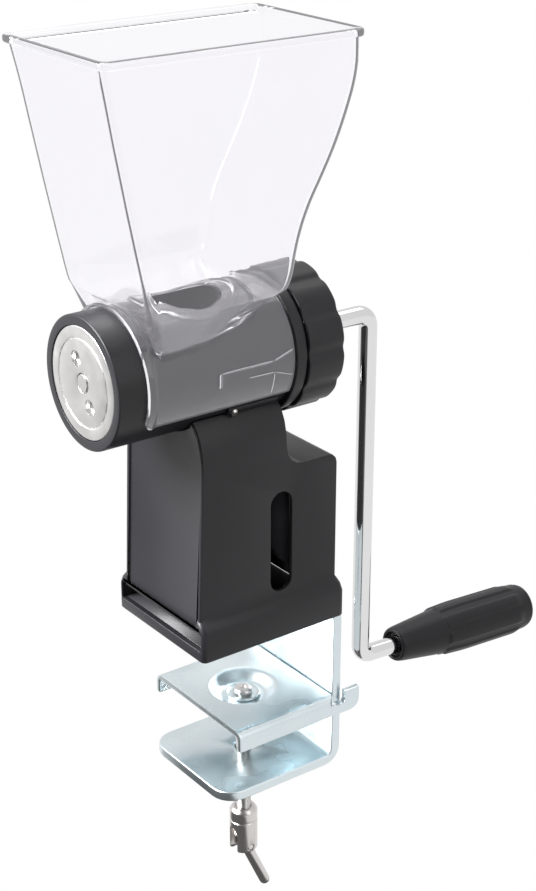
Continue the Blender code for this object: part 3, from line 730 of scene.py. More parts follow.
def hand_over(item: bpy.types.Object, finish: Finish, body: str, nodes: tuple) -> None:
    """Dress a finished piece, hang it on its body, and hide the nodes that it stands for.

    Args:
        item: The piece.
        finish: Its finish.
        body: The name of the body that it rides on.
        nodes: The frame nodes that it stands for, if any.
    """
    dress(item, finish)
    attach(item, body)
    if nodes:
        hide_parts(*nodes)
    LOG.info("%s: %d faces, on %s", item.name, len(item.data.polygons), body)


# Sub-assemblies


@dataclass
class Stand:
    """The foot, body and neck: one black moulding."""

    edge: float = 0.55

    def build(self, frame: dict) -> None:
        """Round the moulding's edges, and lay a thin black sheet in the foot over the bracket's plate:
        painted shade, which darkens the plate where the inside of the foot is in shade.
        """
        item = bevelled_copy(frame, "stand", self.edge)
        hand_over(item, BLACK, "mill", ("stand",))
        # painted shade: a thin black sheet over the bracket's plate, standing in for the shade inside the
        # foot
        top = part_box("clamp_bracket")[1][2] / MM
        outline = rounded([(-35.2, -40.5, 0.5), (35.2, -40.5, 0.5), (35.2, 40.6, 0.5), (-35.2, 40.6, 0.5)], 4)
        shade_sheet = prism("foot_shade_sheet", outline, 2, top + 0.05, top + 0.55)
        hand_over(shade_sheet, BLACK, "mill", ())


@dataclass
class GrindingHead:
    """The black housing with its end disc, and the two rails under the saddle."""

    radius: float = 32.2
    front: float = -82.2
    back: float = 14.4
    collar_radius: float = 35.0
    collar_back: float = 20.6
    boss_radius: float = 24.0
    boss_back: float = 30.0
    chamber: float = 27.3
    barrel: float = 19.0
    sleeve: float = 14.0
    disc_radius: float = 27.0
    groove: float = 21.2
    ledge_lean: float = 37.0

    def housing_profile(self) -> np.ndarray:
        """The housing's closed outline, as (radius, height)."""
        return rounded([
            (self.radius, self.front, 0.9), (self.radius, self.back, 0.3),
            (self.collar_radius, self.back, 0.8), (self.collar_radius, self.collar_back, 0.8),
            (self.boss_radius, self.collar_back, 0.2), (self.boss_radius, 26.8, 0.1),
            (22.0, 26.8, 0.1), (22.0, 28.6, 0.1), (self.boss_radius, 28.6, 0.1),
            (self.boss_radius, self.boss_back, 0.4), (self.sleeve, self.boss_back, 0.3),
            (self.sleeve, -4.0, 0.2), (self.barrel, -4.0, 0.5), (self.barrel, -60.5, 0.5),
            (self.chamber, -60.5, 0.5), (self.chamber, self.front, 0.35),
        ])

    def ledges(self) -> list:
        """The two rails under the saddle's lower edges, as rounded bars along Y."""
        made = []
        for side in (-1, 1):
            outline = rounded([(29.0, -2.0, 0.1), (33.9, -2.0, 0.8), (33.9, 2.0, 0.8), (29.0, 2.0, 0.1)], 3)
            lean = math.radians(self.ledge_lean)
            out = np.array((side * math.cos(lean), -math.sin(lean)))
            up = np.array((side * math.sin(lean), math.cos(lean)))
            place = out * outline[:, :1] + up * outline[:, 1:] + np.array((0.0, AXIS_Z))
            made.append(prism("ledge", place, 1, -20.0, 8.0))
        return made

    def build(self) -> None:
        """Make the housing with its rails, inlet and outlet, and the disc."""
        housing = turned("housing_body", self.housing_profile(), Along.Y, (0, 0, AXIS_Z), 160, True)
        for ledge in self.ledges():
            carve(housing, ledge, "UNION")
        carve(housing, prism("inlet", ellipse((0, -26), (15, 16)), 2, AXIS_Z + 5, AXIS_Z + 40))
        outlet = rounded([(-9.5, -77, 1.5), (9.5, -77, 1.5), (9.5, -61.5, 1.5), (-9.5, -61.5, 1.5)])
        carve(housing, prism("outlet", outlet, 2, AXIS_Z - 40, AXIS_Z - 20))
        hand_over(housing, BLACK, "mill", ("grinding_housing",))
        self.build_disc()

    def build_disc(self) -> None:
        """Make the end disc: a groove round it and two blind spanner holes."""
        face = self.front + 0.35
        profile = rounded([
            (self.disc_radius, self.front + 4.0, 0.2), (self.disc_radius, face, 0.5),
            (self.groove + 0.45, face, 0.12), (self.groove + 0.3, face + 0.45, 0.1),
            (self.groove - 0.3, face + 0.45, 0.1), (self.groove - 0.45, face, 0.12),
            (4.8, face, 0.3), (4.8, self.front + 4.0, 0.2),
        ])
        disc = turned("end_disc_face", profile, Along.Y, (0, 0, AXIS_Z), 160, True)
        for side in (-1, 1):
            hole = rounded([(0, face - 1.0, 0), (4.4, face - 1.0, 0), (3.75, face + 0.4, 0.3),
                            (3.3, face + 2.4, 0.6), (0, face + 2.6, 0)], closed=False)
            place = (side * 5.3, 0, AXIS_Z - side * 10.5)
            carve(disc, turned("spanner_hole", hole, Along.Y, place, 40))
        hand_over(disc, DISC_STEEL, "mill", ("end_disc",))


@dataclass
class AdjustingRing:
    """The black ring behind the housing: a lobed edge that is rounded at both ends."""

    radius: float = 36.4
    front: float = 21.0
    back: float = 42.4
    lobes: int = 12
    valley: float = 1.25
    first_valley: float = 2.3
    spread: float = 4.8

    def lobed(self, radius: np.ndarray, height: np.ndarray, angle: np.ndarray) -> np.ndarray:
        """Sink a valley between lobes: depth times exp(-(a/spread)^2), fading out towards the bore.

        Args:
            radius: The plain radii.
            height: The heights, which don't matter here.
            angle: The angles.

        Returns:
            The lobed radii.
        """
        period = 360.0 / self.lobes
        off = (np.degrees(angle) - self.first_valley + period / 2) % period - period / 2
        dip = self.valley * np.exp(-(off / self.spread) ** 2)
        return radius - dip * smooth_step((radius - 29.0) / 6.0)

    def build(self) -> None:
        """Make the ring."""
        profile = rounded([
            (24.4, self.front, 0.3), (self.radius, self.front, 1.1), (self.radius, self.back, 1.5),
            (22.0, self.back, 0.5), (21.0, self.back - 1.2, 0.5), (14.2, self.back - 1.2, 0.4),
            (14.2, 31.0, 0.2), (28.0, 31.0, 0.2), (28.0, 26.2, 0.2), (24.4, 26.2, 0.2),
        ])
        ring = turned("ring_body_lobed", profile, Along.Y, (0, 0, AXIS_Z), 360, True, self.lobed)
        hand_over(ring, BLACK, "ring_body", ("adjusting_ring",))


@dataclass
class Hopper:
    """The clear hopper: nearly upright walls over a tapered throat, on a half-round saddle.

    Each of its levels gives a height, half the width, the front and the back.
    """

    rim_half: float = 43.4
    rim_front: float = -91.9
    rim_back: float = 46.4
    wall: float = 2.4
    corner: float = 5.0
    levels: tuple = (
        (178.4, 37.0, -66.5, 5.6), (180.0, 37.8, -67.2, 8.2), (183.0, 38.2, -67.9, 10.0),
        (187.0, 38.4, -68.8, 11.2), (195.0, 38.5, -70.5, 12.7), (202.0, 38.6, -72.0, 14.4),
        (210.0, 38.6, -73.7, 17.1), (219.0, 38.7, -75.6, 21.1), (230.0, 38.8, -77.9, 27.4),
        (240.0, 38.9, -79.9, 32.9), (250.0, 39.0, -81.9, 37.6), (260.0, 39.1, -83.9, 41.6),
        (270.0, 39.3, -85.8, 44.8), (278.0, 39.6, -87.4, 46.2), (290.8, 40.3, -90.2, 45.9),
    )
    throat_front: float = -60.2
    throat_back: float = 4.0
    throat_half: float = 30.4
    throat_widest: float = -55.0
    throat_reach: float = 78.0
    outlet: tuple = (16.5, 17.5)
    outlet_y: float = -26.0
    saddle_low: float = 125.6
    saddle_front: float = -67.5
    saddle_back: float = 14.0
    lip: float = 1.1
    around: tuple = (14, 46)

    def level(self, z: np.ndarray, column: int) -> np.ndarray:
        """Read a smooth curve through one column of the levels: cubic pieces, slopes from neighbours.

        Args:
            z: Heights.
            column: 1 for half the width, 2 for the front or 3 for the back.

        Returns:
            The value at each height.
        """
        table = np.array(self.levels)
        x, y = table[:, 0], table[:, column]
        slopes = np.gradient(y, x)
        i = np.clip(np.searchsorted(x, z) - 1, 0, len(x) - 2)
        long = x[i + 1] - x[i]
        t = np.clip((z - x[i]) / long, 0.0, 1.0)
        h00, h10 = 2 * t ** 3 - 3 * t ** 2 + 1, t ** 3 - 2 * t ** 2 + t
        h01, h11 = 3 * t ** 2 - 2 * t ** 3, t ** 3 - t ** 2
        return h00 * y[i] + h10 * long * slopes[i] + h01 * y[i + 1] + h11 * long * slopes[i + 1]

    def section(self, z: np.ndarray, inset: np.ndarray, bead: np.ndarray) -> np.ndarray:
        """Go round rounded rectangles: each corner's middle + (radius - inset) (cos a, sin a), and
        straight sides between corners.

        Args:
            z: A height for each row.
            inset: How far each row stands in from the outside.
            bead: 1 for a row on the rim's bead, 0 for one on the wall below it.

        Returns:
            Points by row and place round it, with x, y and z.
        """
        bend, straight = self.around
        step = np.arange(bend + straight)
        turn = np.minimum(step / (bend - 1), 1.0)
        share = np.maximum(step - bend + 1, 0) / (straight + 1.0)
        angle = (np.arange(4)[:, None] * 90.0 + turn * 90.0).ravel()
        share = np.tile(share, 4)
        corner = np.repeat(np.arange(4), bend + straight)
        rows = np.stack((z, inset, bead))[:, :, None]
        half = self.level(rows[0], 1) * (1 - rows[2]) + self.rim_half * rows[2] - self.corner
        front = self.level(rows[0], 2) * (1 - rows[2]) + self.rim_front * rows[2] + self.corner
        back = self.level(rows[0], 3) * (1 - rows[2]) + self.rim_back * rows[2] - self.corner
        side_x = np.array((1, -1, -1, 1, 1))
        side_y = np.array((1, 1, 0, 0, 1))
        x = half * (side_x[corner] * (1 - share) + side_x[corner + 1] * share)
        ahead = side_y[corner] * (1 - share) + side_y[corner + 1] * share
        y = back * ahead + front * (1 - ahead)
        reach = self.corner - rows[1]
        way = np.radians(angle)
        x, y = x + reach * np.cos(way), y + reach * np.sin(way)
        return np.stack((x, y, np.broadcast_to(rows[0], x.shape)), axis=-1)

    def throat_edge(self, inset: float, radius: float) -> np.ndarray:
        """Carry the lowest section onto the cylinder: its y is shared out along the throat, its x
        narrows by sqrt(1 - past^2) behind the widest place, and z = AXIS_Z + sqrt(radius^2 - x^2).

        Args:
            inset: How far the edge stands in from the outside.
            radius: The cylinder's radius.

        Returns:
            Points round the edge.
        """
        low, half, front, back = self.levels[0]
        outer = self.section(np.array([low]), np.zeros(1), np.zeros(1))[0]
        share = (outer[:, 1] - front) / (back - front)
        y = self.throat_front + inset + share * (self.throat_back - self.throat_front - 2 * inset)
        past = np.maximum(0.0, y - self.throat_widest) / self.throat_reach
        x = outer[:, 0] / half * (self.throat_half * np.sqrt(1 - past ** 2) - inset)
        return np.stack((x, y, AXIS_Z + np.sqrt(radius ** 2 - x ** 2)), axis=-1)

    def throat(self, inset: float, radius: float, steps: int) -> np.ndarray:
        """Rows of the throat, straight from the lowest section down to its edge: top (1 - s) + edge s.

        Args:
            inset: How far the rows stand in from the outside.
            radius: The cylinder's radius at the edge.
            steps: How many rows there are below the lowest section.

        Returns:
            Points by row, downwards, and place round it.
        """
        top = self.section(np.array([self.levels[0][0]]), np.array([inset]), np.zeros(1))[0]
        share = (np.arange(1, steps + 1) / steps)[:, None, None]
        return top * (1 - share) + self.throat_edge(inset, radius) * share

    def funnel_points(self) -> np.ndarray:
        """The funnel's closed skin: down the outside, round the throat's edge, up the inside and
        over the bead at the rim.

        Returns:
            Points by row and place round the funnel.
        """
        low, high = self.levels[0][0], self.levels[-1][0]
        down = high + (low - high) * np.linspace(0.0, 1.0, 48) ** 0.85
        still = np.zeros(len(down))
        middle = (SADDLE_INSIDE + SADDLE_OUTSIDE) / 2
        outside = self.section(down, still, still)
        inside = self.section(down[::-1], still + self.wall, still)
        over = np.array((
            (293.6, 2.4, 0.0), (294.5, 2.25, 0.0), (295.05, 1.7, 0.0), (295.3, 0.8, 0.1), (295.3, 0.0, 0.3),
            (295.3, 0.0, 0.55), (295.1, 0.0, 0.78), (294.7, 0.0, 0.93), (294.1, 0.0, 1.0), (292.9, 0.0, 1.0),
            (292.3, 0.0, 0.95), (291.9, 0.0, 0.8), (291.6, 0.0, 0.45), (291.4, 0.0, 0.15), (291.1, 0.0, 0.0),
        ))
        bead = self.section(over[:, 0], over[:, 1], over[:, 2])
        return np.concatenate((
            outside, self.throat(0.0, middle, 10), self.throat(self.wall, middle, 10)[::-1], inside, bead,
        ))

    def saddle_points(self) -> np.ndarray:
        """The saddle's closed skin: from the outlet out to the saddle's edge over the outside, and back
        under the inside. A place is an arc length round the cylinder and a distance along it.

        Returns:
            Points by place along the loop and direction round the outlet.
        """
        turn = np.linspace(0.0, 2 * np.pi, 400, endpoint=False)
        way = np.stack((np.cos(turn), np.sin(turn)), axis=1)
        reach = math.acos((self.saddle_low - AXIS_Z) / SADDLE_OUTSIDE) * SADDLE_OUTSIDE
        end = np.where(way[:, 1] > 0, self.saddle_back - self.outlet_y, self.outlet_y - self.saddle_front)
        to_side = reach / np.maximum(np.abs(way[:, 0]), 1e-9)
        far = np.minimum(to_side, end / np.maximum(np.abs(way[:, 1]), 1e-9))
        outline = self.clip_corner(way * far[:, None], reach, self.outlet_y - self.saddle_front)
        wide = math.asin(self.outlet[0] / SADDLE_OUTSIDE) * SADDLE_OUTSIDE
        hole = way / np.hypot(way[:, :1] / wide, way[:, 1:] / self.outlet[1])
        share = (np.linspace(0.0, 1.0, 60) ** 1.25)[:, None, None]
        top = self.on_saddle(hole * (1 - share) + outline * share, SADDLE_OUTSIDE, 1.0)
        middle, half = (SADDLE_INSIDE + SADDLE_OUTSIDE) / 2, (SADDLE_OUTSIDE - SADDLE_INSIDE) / 2
        tilt = np.radians(np.array((60.0, 30.0, 0.0, -30.0, -60.0)))[:, None, None]
        push = 1.0 + 0.5 * half * np.cos(tilt) / far[:, None]
        edge = self.on_saddle(outline * push, middle + half * np.sin(tilt[..., 0]), 0.6)
        back = share[::-1]
        under = self.on_saddle(hole * (1 - back) + outline * back, SADDLE_INSIDE, 0.0)
        return np.concatenate((top, edge, under))

    @staticmethod
    def clip_corner(outline: np.ndarray, reach: float, front: float, corner: float = 3.5) -> np.ndarray:
        """Round the two front corners: a place past the corner's middle moves onto its circle.

        Args:
            outline: Rows of arc length and distance along.
            reach: The arc length at the edge.
            front: The distance to the front.
            corner: The corner's radius.

        Returns:
            The outline with round corners.
        """
        over = np.stack((np.abs(outline[:, 0]) - reach + corner, -outline[:, 1] - front + corner), axis=1)
        long = np.linalg.norm(np.maximum(over, 1e-9), axis=1)
        both = (over.min(axis=1) > 0) & (long > corner)
        shrink = np.where(both, corner / long, 1.0)[:, None]
        moved = np.array((reach, front)) - corner + over * shrink
        moved = moved * np.stack((np.sign(outline[:, 0]), np.full(len(outline), -1.0)), axis=1)
        return np.where(both[:, None], moved, outline)

    def on_saddle(self, spots: np.ndarray, radius, raised: float) -> np.ndarray:
        """Wrap places round the mill's axis: (r sin a, y, AXIS_Z + r cos a). The lip at the front and
        the ring round the outlet add smooth steps to the radius.

        Args:
            spots: Arc lengths and distances from the outlet's middle along Y.
            radius: The radius to wrap at.
            raised: 1 where lip and ring count, 0 where they don't.

        Returns:
            Points with x, y and z.
        """
        angle = spots[..., 0] / SADDLE_OUTSIDE
        y = spots[..., 1] + self.outlet_y
        away = np.hypot(spots[..., 0] / (self.outlet[0] + 5.6), spots[..., 1] / (self.outlet[1] + 6.4))
        ring = 1.1 * smooth_step(1.0 - np.abs(away - 1.0) * 13.0)
        r = radius + raised * (self.lip * smooth_step((-62.6 - y) / 1.6) + ring)
        return np.stack((r * np.sin(angle), y, AXIS_Z + r * np.cos(angle)), axis=-1)

    def marks(self) -> list:
        """The raised lines on the saddle's side, each a thin rounded bar along the cylinder."""
        lines = (
            ((-28.5, 138.0), (-28.5, 145.0), 0.9),
            ((-28.5, 145.0), (2.0, 145.0), 0.45), ((2.0, 145.0), (13.4, 148.5), 0.45),
            ((-12.5, 139.7), (2.4, 139.3), 0.3), ((2.4, 139.3), (13.4, 135.5), 0.3),
            ((2.4, 139.0), (2.4, 128.0), 0.3),
        )
        made = []
        for number, (start, end, width) in enumerate(lines):
            made.append(self.raised_line(f"saddle_line_{number}", start, end, width))
        return made

    def raised_line(self, name: str, start: tuple, end: tuple, width: float) -> bpy.types.Object:
        """One raised line: a half-round bead from start to end, given as (y, z), on the saddle's right.

        Args:
            name: The bead's name.
            start: Where it starts.
            end: Where it ends.
            width: Half its width.

        Returns:
            The new piece.
        """
        share = np.linspace(0.0, 1.0, 24)[:, None]
        path = np.array(start) * (1 - share) + np.array(end) * share
        along = np.array(end) - np.array(start)
        side = np.array((-along[1], along[0])) / np.linalg.norm(along)
        turn = np.linspace(0.0, 2 * np.pi, 12, endpoint=False)[None, :]
        taper = np.sqrt(np.clip(1 - (2 * share - 1) ** 8, 0.0, 1.0))
        y = path[:, :1] + side[0] * width * np.cos(turn) * taper
        z = path[:, 1:] + side[1] * width * np.cos(turn) * taper
        angle = np.arccos(np.clip((z - AXIS_Z) / SADDLE_OUTSIDE, -1, 1))
        r = SADDLE_OUTSIDE + 0.05 + 0.5 * width * (np.sin(turn) + 1.0) * taper
        points = np.stack((r * np.sin(angle), y, AXIS_Z + r * np.cos(angle)), axis=-1)
        return new_piece(name, points, False, True)

    def build(self) -> None:
        """Make the funnel and the saddle, join them into one solid and add the raised lines."""
        funnel, saddle = self.funnel_points(), self.saddle_points()
        item = new_piece("clear_hopper", funnel, True, True, CLEAR_SHARP)
        base = new_piece("saddle", saddle, True, True, CLEAR_SHARP)
        carve(item, base, "UNION")
        join(item, self.marks())
        hand_over(item, CLEAR, "hopper_body", ("hopper",))


def join(item: bpy.types.Object, others: list) -> None:
    """Add the meshes of other pieces to a piece, and remove the others.

    Args:
        item: The piece that stays.
        others: The pieces that are added to it.
    """
    bm = bmesh.new()
    bm.from_mesh(item.data)
    for other in others:
        bm.from_mesh(other.data)
        bpy.data.objects.remove(other, do_unlink=True)
    bm.to_mesh(item.data)
    bm.free()
    item.data.shade_smooth()
    item.data.set_sharp_from_angle(angle=math.radians(45))


@dataclass
class Crank:
    """The bent rod with its turning grip."""

    rod: float = 4.8
    reach: float = 86.1
    drop: float = 198.5
    bend: float = 7.0
    slope: float = 3.4
    grip_end: float = 112.0
    start: float = 18.6
    end_step: float = 0.001
    flutes: int = 8

    def along(self, distance: np.ndarray) -> np.ndarray:
        """Places on the grip's axis, as (y, z), by their distance from the lower bend."""
        lean = math.radians(self.slope)
        first = np.array((self.reach + self.bend, AXIS_Z - self.drop))
        return first + np.asarray(distance)[..., None] * np.array((math.cos(lean), -math.sin(lean)))

    def rod_path(self) -> np.ndarray:
        """The rod's centre line: level, down, and out again, with a round bend between."""
        top = arc((self.reach - self.bend, AXIS_Z - self.bend), self.bend, 90, 0, 14)
        low = (self.reach + self.bend, AXIS_Z - self.drop + self.bend)
        foot = arc(low, self.bend, 180, 270 - self.slope, 14)
        ends = [np.array([(self.start, AXIS_Z)]), top, foot, self.along(np.array([self.grip_end - 8.0]))]
        return resample(np.concatenate(ends), 4.0)

    def build(self) -> None:
        """Make the rod, the grip and the cap."""
        path = self.rod_path()
        nudge = (self.end_step, 0)
        path = np.concatenate((path[:1], path[:1] + nudge, path[1:-1], path[-1:] - nudge, path[-1:]))
        radius = np.full(len(path), self.rod)
        radius[0] = radius[-1] = 0.0
        rod = swept("bent_rod", path, radius, 40)
        hand_over(rod, CHROME, "crank", ("crank_rod",))
        self.build_grip()

    def fluted(self, radius: np.ndarray, height: np.ndarray, angle: np.ndarray) -> np.ndarray:
        """Raise soft lands on the grip's body: height times a smoothed wave round it, between two steps.

        Args:
            radius: The plain radii.
            height: The distance along the grip.
            angle: The angles.

        Returns:
            The fluted radii.
        """
        wave = 0.5 + 0.5 * np.cos(self.flutes * angle + 0.6)
        land = smooth_step((wave - 0.08) / 0.5)
        window = smooth_step((height - 47.2) / 1.6) * smooth_step((self.grip_end - 5.0 - height) / 7.0)
        outside = smooth_step((radius - 11.5) / 1.0)
        return radius + 0.95 * land * window * outside

    def lean(self, item: bpy.types.Object) -> bpy.types.Object:
        """Turn a piece made along Z onto the grip's axis, in its mesh.

        Args:
            item: The piece.

        Returns:
            The same piece.
        """
        y, z = self.along(np.array(0.0))
        turn = Matrix.Rotation(-math.pi / 2 - math.radians(self.slope), 4, "X")
        item.data.transform(Matrix.Translation((0, y * MM, z * MM)) @ turn)
        item.data.update()
        return item

    def build_grip(self) -> None:
        """Make the grip and its end cap."""
        far, bore = self.grip_end, self.rod + 0.3
        corners = [
            (13.15, far - 1.6, 0.5), (13.6, far - 9.0, 4.0), (13.65, 62.0, 4.0), (12.9, 48.0, 3.0),
            (9.9, 19.5, 2.5), (9.2, 16.6, 1.6), (7.4, 16.6, 0.7), (7.2, 19.0, 0.4), (bore, 19.0, 0.2),
            (bore, far - 12.0, 0.2), (9.0, far - 12.0, 0.2), (9.0, far - 1.6, 0.2),
        ]
        outline = rounded(corners, 8)
        outline = resample(np.concatenate((outline, outline[:1])), 1.6)[:-1]
        grip = turned("fluted_grip", outline, Along.Z, (0, 0, 0), 192, True, self.fluted)
        hand_over(self.lean(grip), GRIP_BLACK, "grip_body", ("grip",))
        cap = rounded([
            (0, far + 3.4, 0), (6.5, far + 3.3, 5.0), (12.2, far + 1.6, 3.0), (13.0, far - 1.3, 0.4),
            (8.6, far - 1.3, 0.2), (8.6, far - 6.5, 0.3), (0, far - 6.5, 0),
        ], 6, closed=False)
        dome = turned("grip_end_cap", cap, Along.Z, (0, 0, 0), 96)
        hand_over(self.lean(dome), GRIP_BLACK, "grip_body", ("grip_cap",))


@dataclass
class Clamp:
    """The table clamp: bracket, jaw, screw, barrel and tommy bar."""

    screw_y: float = 7.0
    jaw_top: float = -47.0
    jaw_half: float = 38.1
    jaw_bend: float = 4.6
    jaw_low: float = -58.0
    jaw_sheet: float = 3.0
    screw: float = 4.0
    pitch: float = 1.25
    tommy_z: float = -144.4
    tommy_lean: float = 24.4

    def build(self, frame: dict) -> None:
        """Make every piece of the clamp."""
        bracket = bevelled_copy(frame, "clamp_bracket", 0.9)
        hand_over(bracket, ZINC, "mill", ("clamp_bracket",))
        nut = bevelled_copy(frame, "clamp_nut", 0.35, 2)
        hand_over(nut, ZINC, "mill", ("clamp_nut",))
        self.build_jaw()
        self.build_screw()
        self.build_barrel()

    def build_jaw(self) -> None:
        """Make the jaw: a sheet folded down at both sides and dished round the screw, with two ears."""
        bend, half, low = self.jaw_bend, self.jaw_half, self.jaw_low
        right = np.concatenate((
            [(half, low)], arc((half - bend, self.jaw_top - bend), bend, 0, 90, 8),
        ))
        left = right[::-1] * np.array((-1.0, 1.0))
        across = resample(np.concatenate((right, left)), 0.9)
        along = np.linspace(-22.0, 38.6, 70)
        x = np.broadcast_to(across[None, :, 0], (len(along), len(across)))
        z = np.broadcast_to(across[None, :, 1], (len(along), len(across)))
        y = np.broadcast_to(along[:, None], x.shape)
        r = np.hypot(x, y - self.screw_y)
        dish = 5.0 * smooth_step((19.0 - r) / 8.0)
        points = np.stack((x, y, z - dish), axis=-1)
        item = new_piece("folded_jaw", points, False, False)
        thicken = item.modifiers.new("sheet", "SOLIDIFY")
        thicken.thickness = self.jaw_sheet * MM
        thicken.offset = -1.0
        thicken.use_even_offset = True
        bake(item)
        outline = rounded([
            (36.0, low, 0.1), (54.5, low, 7.0), (54.5, -45.5, 0.6), (45.0, -45.5, 0.6),
            (45.0, -52.6, 2.9), (39.2, -52.6, 2.9), (39.2, -50.4, 0.6), (36.0, -50.4, 0.1),
        ], 6)
        for side in (-1, 1):
            ends = sorted((side * (half - self.jaw_sheet), side * half))
            carve(item, prism("ear", outline, 0, *ends), "UNION")
        bevel(item, 0.45, 2, 50)
        hand_over(item, ZINC, "jaw", ("clamp_jaw",))
        seat = rounded([
            (3.4, -0.1, 0.2), (8.4, -0.1, 0.5), (9.4, 1.1, 0.5),
            (8.6, 1.6, 0.4), (7.4, 0.9, 0.5), (3.4, 0.9, 0.2),
        ], 4)
        washer = turned("jaw_washer_ring", seat, Along.Z, (0, self.screw_y, self.jaw_top - 4.8), 72, True)
        hand_over(washer, ZINC, "jaw", ("jaw_washer",))

    def thread(self, radius: np.ndarray, height: np.ndarray, angle: np.ndarray) -> np.ndarray:
        """Cut the thread: a triangle wave of height over pitch, moved on by the angle.

        Args:
            radius: The plain radii.
            height: The heights.
            angle: The angles.

        Returns:
            The threaded radii.
        """
        phase = (height / self.pitch - angle / (2 * np.pi)) % 1.0
        tooth = np.clip(np.abs(phase * 2 - 1) * 1.5 - 0.25, 0.0, 1.0)
        inside = smooth_step((-57.0 - height) / 1.0) * smooth_step((height + 127.5) / 1.0)
        return radius - 0.55 * tooth * inside * (radius > self.screw - 0.01)

    def build_screw(self) -> None:
        """Make the threaded screw with its swaged head."""
        head = self.jaw_top - 2.9
        shank = resample(np.array([(self.screw, -56.5), (self.screw, -128.0)]), self.pitch / 8)
        profile = np.concatenate((
            [(0, head + 1.3), (1.3, head + 1.3), (1.7, head + 2.2)],
            rounded([(1.7, head + 2.2, 0), (4.2, head + 2.2, 0.9), (5.2, head + 0.8, 0.6),
                     (5.0, head, 0.3), (3.0, head, 0.1)], 4, closed=False),
            [(3.0, -55.4)], shank, [(0, -128.0)],
        ))
        item = turned("threaded_screw", profile, Along.Z, (0, self.screw_y, 0), 48, False, self.thread)
        hand_over(item, SCREW_STEEL, "screw", ("clamp_screw",))

    def build_barrel(self) -> None:
        """Make the barrel with its slot, the cross pin's seat and the tommy bar."""
        bore = self.screw + 0.3
        profile = rounded([
            (0, -128.3, 0), (bore, -128.3, 0.1), (bore, -121.0, 0.1), (5.9, -121.0, 0.4), (7.5, -123.0, 0.6),
            (7.5, -128.0, 0.2), (7.1, -128.5, 0.2), (7.1, -129.1, 0.2), (7.5, -129.6, 0.2),
            (7.5, -147.0, 0.9), (6.0, -148.3, 0.8), (0, -148.3, 0),
        ], 4, closed=False)
        item = turned("screw_barrel_body", profile, Along.Z, (0, self.screw_y, 0), 72)
        slot = np.concatenate((arc((0.0, -136.3), 3.3, 0, 180, 16), [(-3.3, -160.0), (3.3, -160.0)]))
        carve(item, prism("slot", slot, 1, self.screw_y - 10, self.screw_y + 10))
        pin = ellipse((self.screw_y, self.tommy_z), (1.8, 1.8), 32)
        carve(item, prism("pin_seat", pin, 0, -10, 10))
        bevel(item, 0.25, 2, 50)
        hand_over(item, SCREW_STEEL, "screw", ("screw_barrel",))
        outline = rounded([
            (0, 3.1, 0), (2.0, 3.0, 1.2), (2.9, 1.6, 1.0),
            (2.9, -34.3, 0.8), (2.2, -35.9, 0.9), (0, -35.9, 0),
        ], 5, closed=False)
        bar = turned("tommy_bar_body", outline, Along.Z, (0, 0, 0), 48)
        place = Matrix.Translation((0, self.screw_y * MM, self.tommy_z * MM))
        bar.data.transform(place @ Matrix.Rotation(math.radians(self.tommy_lean), 4, "X"))
        bar.data.update()
        carve(bar, prism("bar_hole", pin, 0, -8, 8))
        hand_over(bar, SCREW_STEEL, "bar", ("tommy_bar",))


@dataclass
class CarriedNodes:
    """The frame nodes that keep their own shape and only get a better material."""

    def build(self, frame: dict) -> None:
        """Dress each node that nothing stands for."""
        finishes = {
            "steel": SCREW_STEEL, "burr_steel": BURR_STEEL, "bronze": BRONZE, "seal_rubber": RUBBER,
            "auger_plastic": AUGER_PLASTIC, "zinc_plate": ZINC, "black_plastic": BLACK,
        }
        slots = {row["node"]: row["material_slot"] for row in frame["record"]["subparts"]}
        for name, node in frame["nodes"].items():
            if node.hide_render:
                continue
            finish = DISC_STEEL if name == "drive_shaft" else finishes[slots[name]]
            for slot in node.material_slots:
                slot.material = finish.material()
            LOG.info("%s keeps its shape", name)


# The studio


@dataclass
class Softbox:
    """A rectangular lamp: where it is, where it points, its size in metres and its power in watts."""

    name: str
    place: tuple
    size: tuple
    power: float
    target: tuple = (0.0, 0.0, 0.1)

    def build(self) -> None:
        """Put the lamp in the scene, pointing at its target."""
        lamp = bpy.data.lights.new(self.name, "AREA")
        lamp.shape = "RECTANGLE"
        lamp.size, lamp.size_y = self.size
        lamp.energy = self.power
        item = bpy.data.objects.new(self.name, lamp)
        bpy.context.scene.collection.objects.link(item)
        item.location = self.place
        way = Vector(self.target) - Vector(self.place)
        item.rotation_euler = way.to_track_quat("-Z", "Y").to_euler()


